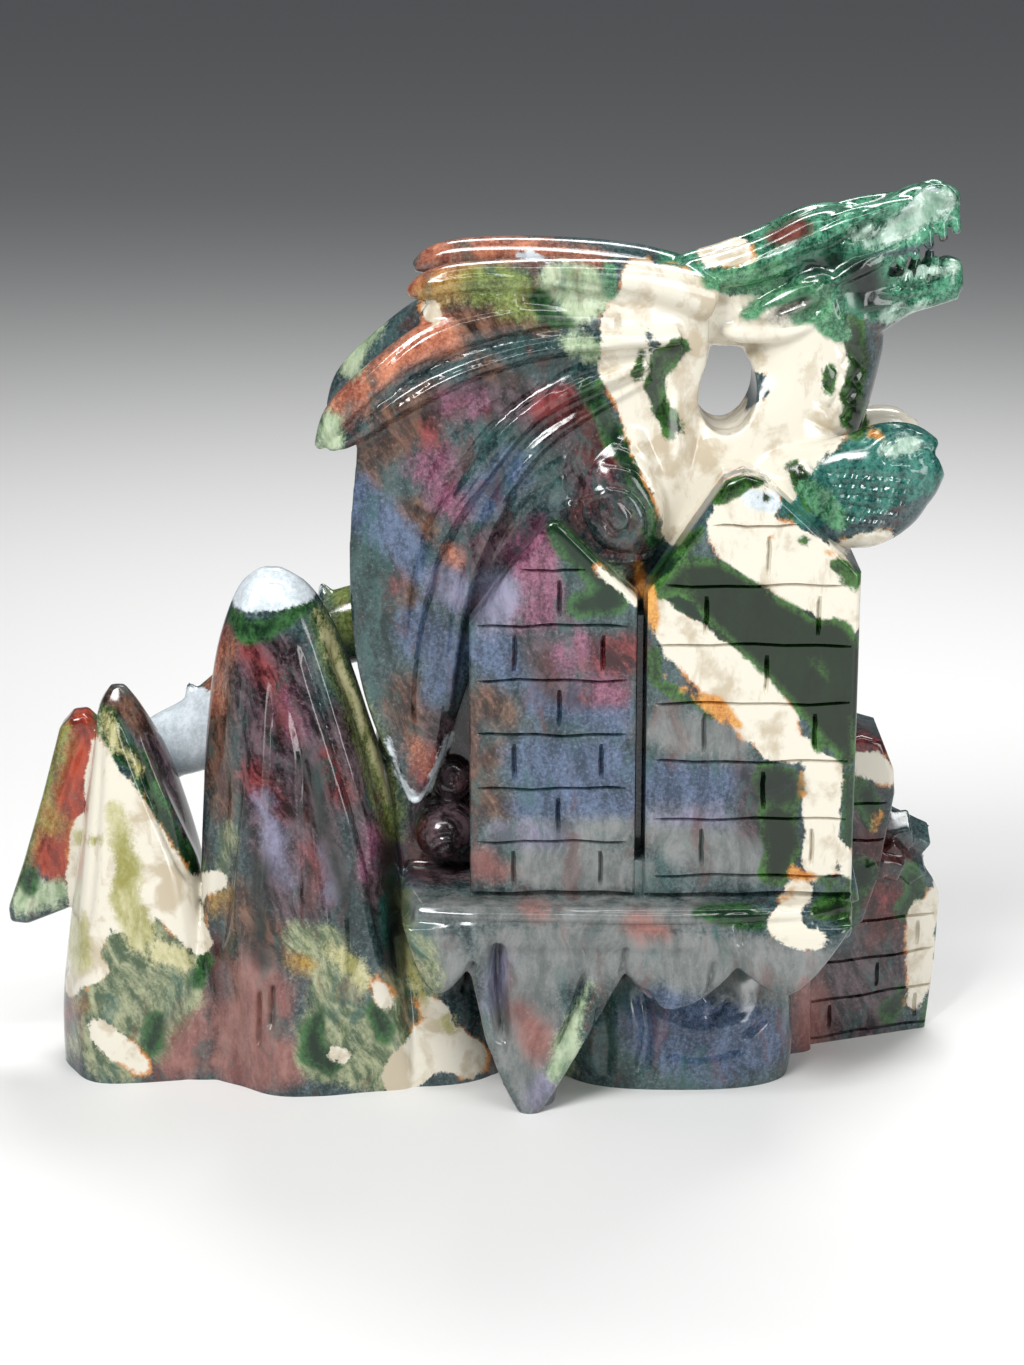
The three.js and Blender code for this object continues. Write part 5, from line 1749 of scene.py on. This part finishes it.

# %% [markdown]
# ## Small zones on top
#
# Ferny green along the cream, touches of jade and amber, a pale green painted highlight along ridges of the
# head and the hand, and black are laid last. The black is partly dark stone and partly painted shade in the
# open mouth, in deep grooves and in creases.
# Nothing covers them, so they keep their shapes.

# %% Place the small zones
ZONES.update({
    "fern": [
        (BEHIND, [(676, 348, 10), (660, 362, 11), (654, 388, 9), (662, 412, 9), (674, 430, 8)]),
        (BEHIND, [(642, 352, 4), (638, 372, 6)]),
        (BEHIND, [(597, 385, 5), (599, 386, 5)]),
        (ANY, [(852, 330, 14), (858, 360, 10), (852, 396, 11), (858, 430, 9)]),
        (ANY, [(830, 372, 8), (828, 388, 7)]),
        (ANY, [(846, 418, 6), (850, 424, 6)]),
        (CASTLE, [(716, 500, 5), (728, 492, 9), (745, 482, 8), (764, 479, 5)]),
        (CASTLE, [(765, 497, 7), (766, 498, 7)]),
        (CASTLE, [(790, 511, 5), (791, 513, 5)]),
        (CASTLE, [(806, 538, 6), (808, 540, 6)]),
        (CASTLE, [(686, 545, 9), (700, 532, 7)]),
        (CASTLE, [(838, 566, 8), (850, 580, 10)]),
        (
            CASTLE,
            [
                (662, 590, 8), (690, 576, 15), (712, 580, 21), (735, 594, 22), (758, 614, 24),
                (790, 630, 24),
            ],
        ),
        (
            CASTLE,
            [
                (700, 596, 12), (740, 628, 18), (780, 660, 22), (815, 694, 25), (838, 732, 18),
                (847, 754, 9),
            ],
        ),
        (CASTLE, [(800, 642, 22), (832, 640, 22), (846, 662, 24), (842, 704, 22)]),
        (CASTLE, [(654, 650, 6), (656, 682, 6), (676, 692, 8), (700, 700, 6), (712, 716, 5)]),
        (CASTLE, [(772, 780, 19), (786, 792, 17), (786, 780, 15)]),
        (CASTLE, [(778, 820, 20), (784, 846, 18), (774, 872, 14)]),
        (CASTLE, [(812, 738, 6), (820, 748, 5)]),
        (CASTLE, [(824, 882, 8), (846, 884, 7)]),
        (ANY, [(818, 912, 8), (840, 908, 12)]),
        (WING, [(795, 468, 10), (812, 500, 10)]),
    ],
    "jade": [
        (WING, [(610, 262, 6), (611, 290, 7)]),
        (ANY, [(748, 314, 5), (768, 300, 8), (800, 290, 10), (820, 290, 9)]),
        (ANY, [(798, 318, 8), (820, 312, 11), (838, 332, 13)]),
        (ANY, [(712, 280, 7), (745, 280, 12), (775, 276, 14)]),
        (WING, [(806, 486, 9), (822, 500, 12), (838, 520, 10)]),
    ],
    # A pale green painted highlight along the ridges of the snout, the brow, the lips and the eye, and on a
    # knuckle of the hand.
    "pale_green_painted_highlight": [
        (ANY, [(872, 244, 7), (898, 228, 11), (930, 206, 13), (944, 200, 8)]),
        (ANY, [(938, 272, 3), (954, 268, 4)]),
        (ANY, [(886, 318, 3), (925, 306, 4)]),
        (ANY, [(856, 236, 4), (872, 230, 4)]),
        (ANY, [(902, 274, 4), (920, 272, 4)]),
        (WING, [(890, 450, 6), (912, 444, 7)]),
    ],
    "amber": [
        (CASTLE, [(666, 676, 2), (696, 696, 5), (722, 712, 8), (736, 724, 4)]),
        (CASTLE, [(801, 766, 2), (803, 796, 3)]),
        (CASTLE, [(794, 872, 5), (814, 878, 3)]),
        (ANY, [(796, 890, 2), (782, 901, 4), (776, 912, 2)]),
        (CASTLE, [(646, 590, 4), (654, 626, 5)]),
        (BEHIND, [(640, 566, 4), (640, 596, 4)]),
        (CASTLE, [(820, 550, 3), (834, 556, 2)]),
        (CASTLE, [(770, 534, 2), (774, 536, 2)]),
        (RIGHT, [(880, 812, 4), (876, 826, 3)]),
        (ANY, [(870, 433, 3), (880, 436, 2)]),
    ],
    "ember": [
        (ANY, [(774, 238, 6), (800, 227, 6)]),
    ],
    # Black, partly a dark spot on the right tower and partly painted shade: at the back of the open mouth, in
    # the deep groove at its corner, in a hollow of the head, beside the ledge's left end and in furrows of
    # the tall peak.
    "black_and_painted_shade": [
        (ANY, [(862, 270, 13), (870, 298, 12)]),
        (ANY, [(812, 268, 7), (834, 260, 7)]),
        (ANY, [(778, 314, 2), (792, 308, 3), (806, 301, 2)]),
        (CASTLE, [(768, 788, 9), (790, 784, 9)]),
        (ANY, [(388, 850, 4), (392, 900, 7), (396, 960, 7)]),
        (ANY, [(258, 870, 3), (262, 960, 4)]),
        (ANY, [(306, 760, 3), (340, 880, 4), (350, 930, 3)]),
    ],
})
print(sum(len(bands) for bands in ZONES.values()), "bands of colour")

# %% [markdown]
# ## Keeping the zones on the mesh
#
# The material has to know where it is, and a mesh can carry numbers on its points for that.
# Each point keeps how far inside a zone it lies, in millimetres, and outside a zone the number is negative.
# That is the band's half width less the distance to its middle line.


# %% Keep the zones on the points
DEEPEST = 12


def depth_in_band(spots, band):
    deepest = np.full(len(spots), -np.inf)
    for start, end in zip(band, band[1:]):
        start, end = np.array(start, float), np.array(end, float)
        along = (end - start)[:2]
        share = np.clip((spots - start[:2]) @ along / (along @ along), 0, 1)
        away = np.linalg.norm(spots - start[:2] - share[:, None] * along, axis=1)
        deepest = np.maximum(deepest, start[2] + share * (end[2] - start[2]) - away)
    return deepest / PIXELS_PER_MM


def keep_zones(made):
    points = points_of(made) - shift
    spots = seen(points)
    for name, bands in ZONES.items():
        inside = np.full(len(points), -float(DEEPEST))
        for reach, band in bands:
            within = np.minimum(points[:, 1] - reach[0], reach[1] - points[:, 1])
            inside = np.maximum(inside, np.minimum(depth_in_band(spots, band), within))
        layer = made.data.attributes.new("zone_" + name, "FLOAT", "POINT")
        layer.data.foreach_set("value", np.clip(inside, -DEEPEST, DEEPEST).astype(np.float32))


keep_zones(stone)
print(len(ZONES), "zones of colour")

# %% [markdown]
# ## The stone's material
#
# Polished jasper is mottled at every scale, and each of its colours runs from a dark to a light tone.
# Noise nodes mix the two tones, because they work all through the stone and need no unwrapping.
# Calm zones are cloudy with few flecks, and streaked zones have slanting streaks.
# Zones lie over each other in the order above, and noise roughens their borders by so many millimetres.

# %% Choose the tones
TONES = {
    "base": ((0.007, 0.020, 0.022), (0.085, 0.13, 0.135)),
    "umber": ((0.02, 0.010, 0.007), (0.20, 0.105, 0.07)),
    "deep": ((0.003, 0.013, 0.013), (0.045, 0.095, 0.09)),
    "slate": ((0.017, 0.033, 0.062), (0.115, 0.16, 0.26)),
    "ash": ((0.092, 0.108, 0.105), (0.215, 0.225, 0.22)),
    "plum": ((0.010, 0.006, 0.007), (0.125, 0.085, 0.10)),
    "oxblood": ((0.008, 0.002, 0.002), (0.11, 0.028, 0.026)),
    "rose": ((0.15, 0.05, 0.045), (0.30, 0.15, 0.13)),
    "maroon": ((0.13, 0.014, 0.008), (0.46, 0.07, 0.03)),
    "garnet": ((0.03, 0.004, 0.006), (0.26, 0.05, 0.05)),
    "magenta": ((0.045, 0.011, 0.025), (0.29, 0.115, 0.18)),
    "lilac": ((0.08, 0.08, 0.12), (0.26, 0.25, 0.35)),
    "rust": ((0.20, 0.05, 0.03), (0.58, 0.23, 0.13)),
    "ochre": ((0.20, 0.10, 0.02), (0.46, 0.32, 0.09)),
    "olive": ((0.05, 0.07, 0.012), (0.25, 0.32, 0.10)),
    "sage": ((0.14, 0.23, 0.11), (0.48, 0.56, 0.39)),
    "meadow": ((0.055, 0.09, 0.045), (0.36, 0.38, 0.23)),
    "moss": ((0.003, 0.016, 0.007), (0.05, 0.15, 0.045)),
    "teal": ((0.003, 0.04, 0.038), (0.07, 0.24, 0.19)),
    "emerald": ((0.002, 0.03, 0.016), (0.11, 0.36, 0.22)),
    "cream": ((0.49, 0.42, 0.31), (0.69, 0.65, 0.55)),
    # White stone, which also serves for a painted highlight on the wing's arm.
    "white_and_painted_highlight": ((0.46, 0.52, 0.55), (0.72, 0.78, 0.83)),
    "lichen": ((0.26, 0.25, 0.07), (0.56, 0.53, 0.32)),
    "jade": ((0.006, 0.06, 0.028), (0.15, 0.38, 0.20)),
    # The tones of the pale green painted highlight.
    "pale_green_painted_highlight": ((0.14, 0.27, 0.19), (0.50, 0.62, 0.54)),
    "fern": ((0.003, 0.010, 0.003), (0.06, 0.18, 0.035)),
    "amber": ((0.42, 0.14, 0.02), (0.70, 0.38, 0.10)),
    "ember": ((0.05, 0.012, 0.01), (0.18, 0.06, 0.045)),
    # The black doubles as painted shade in hollows, grooves and creases.
    "black_and_painted_shade": ((0.001, 0.003, 0.002), (0.012, 0.025, 0.02)),
}
SEAM = (0.58, 0.23, 0.05)
CALM = ("ash", "rose", "sage", "pale_green_painted_highlight", "lichen", "lilac", "maroon")
STREAKED = ("plum", "umber", "garnet", "meadow")
BORDER = {
    "maroon": 2.2, "cream": 0.5, "white_and_painted_highlight": 0.7, "fern": 0.7, "moss": 1.3, "emerald": 1.2, "teal": 1.4,
    "amber": 1.0, "sage": 2.0, "jade": 1.2, "pale_green_painted_highlight": 1.6, "ember": 2.0, "lichen": 1.6, "meadow": 2.4,
}
SOFT_BORDER = 4.2
print(len(TONES), "pairs of tones")

# %% [markdown]
# ## Short names for nodes
#
# A material is a graph of nodes, and each step below adds a node and links it to the last ones.


# %% Make a graph of nodes


class Graph:
    def __init__(self, name):
        self.material = bpy.data.materials.new(name)
        self.material.use_nodes = True
        self.tree = self.material.node_tree
        self.shader = self.tree.nodes["Principled BSDF"]

    def put(self, socket, value):
        if isinstance(value, bpy.types.NodeSocket):
            self.tree.links.new(value, socket)
        elif isinstance(value, tuple) and len(value) == 3 and socket.type == "RGBA":
            socket.default_value = (*value, 1)
        else:
            socket.default_value = value

    def math(self, operation, a, b=0.0, clamp=False):
        node = self.tree.nodes.new("ShaderNodeMath")
        node.operation, node.use_clamp = operation, clamp
        self.put(node.inputs[0], a)
        self.put(node.inputs[1], b)
        return node.outputs[0]

    def noise(self, where, scale, detail=3.0, roughness=0.55, distortion=0.0):
        node = self.tree.nodes.new("ShaderNodeTexNoise")
        self.put(node.inputs["Vector"], where)
        self.put(node.inputs["Scale"], scale)
        self.put(node.inputs["Detail"], detail)
        self.put(node.inputs["Roughness"], roughness)
        self.put(node.inputs["Distortion"], distortion)
        return node.outputs["Fac"], node.outputs["Color"]

    def step(self, value, low, high):
        node = self.tree.nodes.new("ShaderNodeMapRange")
        node.interpolation_type = "SMOOTHSTEP"
        self.put(node.inputs["Value"], value)
        self.put(node.inputs["From Min"], low)
        self.put(node.inputs["From Max"], high)
        return node.outputs["Result"]

    def mix(self, share, a, b):
        node = self.tree.nodes.new("ShaderNodeMix")
        node.data_type = "RGBA"
        self.put(node.inputs[0], share)
        self.put(node.inputs[6], a)
        self.put(node.inputs[7], b)
        return node.outputs[2]

    def vector(self, operation, a, b, c):
        node = self.tree.nodes.new("ShaderNodeVectorMath")
        node.operation = operation
        for socket, value in zip(node.inputs, (a, b, c)):
            self.put(socket, value)
        return node.outputs[0]

    def attribute(self, name):
        node = self.tree.nodes.new("ShaderNodeAttribute")
        node.attribute_name = name
        return node.outputs["Fac"]


print("the graph is ready")

# %% [markdown]
# ## The jasper
#
# The dark mossy green is veined with red, blue and grey, and cream meets its neighbours in a rusty seam.
# The gloss is that of a waxed polish, with a faint ripple so that reflections aren't perfectly smooth.


# %% Mix the stone
def jasper():
    g = Graph("jasper")
    place = g.tree.nodes.new("ShaderNodeTexCoord").outputs["Object"]
    _, sway = g.noise(place, 40, 2)
    where = g.vector("MULTIPLY_ADD", sway, (0.014, 0.014, 0.014), place)
    tall = g.vector("MULTIPLY_ADD", where, (1.0, 1.0, 0.33), (0.0, 0.0, 0.0))
    broad, _ = g.noise(where, 70, 4, 0.6)
    cloud, _ = g.noise(tall, 170, 8, 0.68)
    fleck, _ = g.noise(place, 800, 5, 0.8)
    blush, _ = g.noise(tall, 95, 7, 0.66)
    chill, _ = g.noise(tall, 120, 7, 0.66, 0.3)
    mottle = g.math("ADD", g.math("MULTIPLY", cloud, 0.5), g.math("MULTIPLY", fleck, 0.5))
    shade = g.step(mottle, 0.39, 0.63)
    calm = g.step(g.math("ADD", g.math("MULTIPLY", cloud, 0.85), g.math("MULTIPLY", fleck, 0.15)), 0.34, 0.66)
    slant = g.tree.nodes.new("ShaderNodeMapping")
    slant.vector_type = "TEXTURE"
    slant.inputs["Rotation"].default_value = (0, -0.5, 0)
    slant.inputs["Scale"].default_value = (1, 1, 4)
    g.put(slant.inputs["Vector"], where)
    streak, _ = g.noise(slant.outputs["Vector"], 260, 6, 0.65)
    streaky = g.math("ADD", g.math("MULTIPLY", streak, 0.75), g.math("MULTIPLY", fleck, 0.25))
    streaked = g.step(streaky, 0.40, 0.64)
    broad_sway = g.math("SUBTRACT", broad, 0.5)
    fine_sway = g.math("SUBTRACT", mottle, 0.5)
    loose = g.math("ADD", g.math("MULTIPLY", broad_sway, 9.0), g.math("MULTIPLY", fine_sway, 13.0))
    tight = g.math("ADD", g.math("MULTIPLY", broad_sway, 7.0), g.math("MULTIPLY", fine_sway, 6.0))
    colour = g.mix(shade, *TONES["base"])
    for name in ZONES:
        low, high = TONES[name]
        tone = g.mix(calm if name in CALM else streaked if name in STREAKED else shade, low, high)
        if name in ("fern", "moss"):
            depth = g.step(g.attribute("zone_" + name), 3.2, 0.0)
            lighter = g.math("ADD", g.math("MULTIPLY", depth, 0.93), 0.07)
            tone = g.mix(g.math("MULTIPLY", shade, lighter), low, high)
        if name == "moss":
            colour = g.mix(g.math("MULTIPLY", g.step(blush, 0.54, 0.66), 0.4), colour, (0.13, 0.04, 0.035))
            colour = g.mix(g.math("MULTIPLY", g.step(chill, 0.54, 0.66), 0.45), colour, (0.03, 0.11, 0.10))
            colour = g.mix(g.math("MULTIPLY", g.step(fleck, 0.57, 0.70), 0.35), colour, (0.27, 0.28, 0.34))
        if name == "cream":
            tone = g.mix(g.step(broad, 0.5, 0.66), high, low)
            tone = g.mix(g.math("MULTIPLY", g.step(cloud, 0.45, 0.35), 0.5), tone, low)
            tone = g.mix(g.math("MULTIPLY", g.step(fleck, 0.34, 0.27), 0.4), tone, (0.16, 0.09, 0.045))
        border = BORDER.get(name, SOFT_BORDER)
        inside = g.math("ADD", g.attribute("zone_" + name), loose if border > 1.5 else tight)
        colour = g.mix(g.step(inside, -1.2 * border, 0.7 * border), colour, tone)
        if name == "cream":
            seam = g.step(g.math("ABSOLUTE", g.math("ADD", inside, 0.3)), 1.2, 0.2)
            seam = g.math("MULTIPLY", seam, g.step(blush, 0.52, 0.62))
            colour = g.mix(g.math("MULTIPLY", seam, 0.7), colour, SEAM)
    g.put(g.shader.inputs["Base Color"], colour)
    g.put(g.shader.inputs["Roughness"], g.math("ADD", 0.10, g.math("MULTIPLY", cloud, 0.10)))
    g.shader.inputs["IOR"].default_value = 1.54
    ripple = g.tree.nodes.new("ShaderNodeBump")
    ripple.inputs["Strength"].default_value = 0.08
    ripple.inputs["Distance"].default_value = 0.0005
    g.put(ripple.inputs["Height"], cloud)
    g.put(g.shader.inputs["Normal"], ripple.outputs["Normal"])
    return g.material


stone.data.materials.clear()
stone.data.materials.append(jasper())
print(len(stone.data.materials[0].node_tree.nodes), "nodes in the jasper")

# %% [markdown]
# ## Stage
#
# Polished stone shows the shape of every lamp, so the light decides how smooth it looks.
# A key lamp from the left, a weaker fill, a rim light behind and a narrow strip above are all area lamps.
# Their reflections are soft patches and lines on the carved forms, as in the photograph.

# %% Light the stage
def floor():
    mesh = bpy.data.meshes.new("floor")
    mesh.from_pydata([(-12, -12, 0), (12, -12, 0), (12, 12, 0), (-12, 12, 0)], [], [(0, 1, 2, 3)])
    made = bpy.data.objects.new("floor", mesh)
    bpy.context.collection.objects.link(made)
    paint = bpy.data.materials.new("floor")
    paint.use_nodes = True
    shader = paint.node_tree.nodes["Principled BSDF"]
    shader.inputs["Base Color"].default_value = (0.78, 0.78, 0.77, 1)
    shader.inputs["Roughness"].default_value = 0.55
    mesh.materials.append(paint)


def lamp(name, place, size, power, aim=(0, 0, 0.14)):
    data = bpy.data.lights.new(name, "AREA")
    data.shape = "RECTANGLE"
    data.size, data.size_y = size
    data.energy = power
    made = bpy.data.objects.new(name, data)
    bpy.context.collection.objects.link(made)
    made.location = place
    towards = np.array(aim) - np.array(place)
    tilt = math.atan2(math.hypot(towards[0], towards[1]), -towards[2])
    made.rotation_euler = (tilt, 0, math.atan2(-towards[0], towards[1]))


floor()
lamp("key", (-0.55, -1.0, 1.25), (0.5, 0.5), 21)
lamp("fill", (1.0, -1.2, 0.55), (0.5, 0.9), 10)
lamp("rim", (0.2, 0.7, 1.1), (1.0, 0.3), 12)
lamp("strip", (0.1, -0.55, 1.35), (1.5, 0.12), 7)
world = bpy.data.worlds.new("world")
world.use_nodes = True
world.node_tree.nodes["Background"].inputs["Color"].default_value = (0.75, 0.79, 0.85, 1)
world.node_tree.nodes["Background"].inputs["Strength"].default_value = 0.12
bpy.context.scene.view_settings.view_transform = "Standard"
bpy.context.scene.world = world
print(len(bpy.data.lights), "lamps")
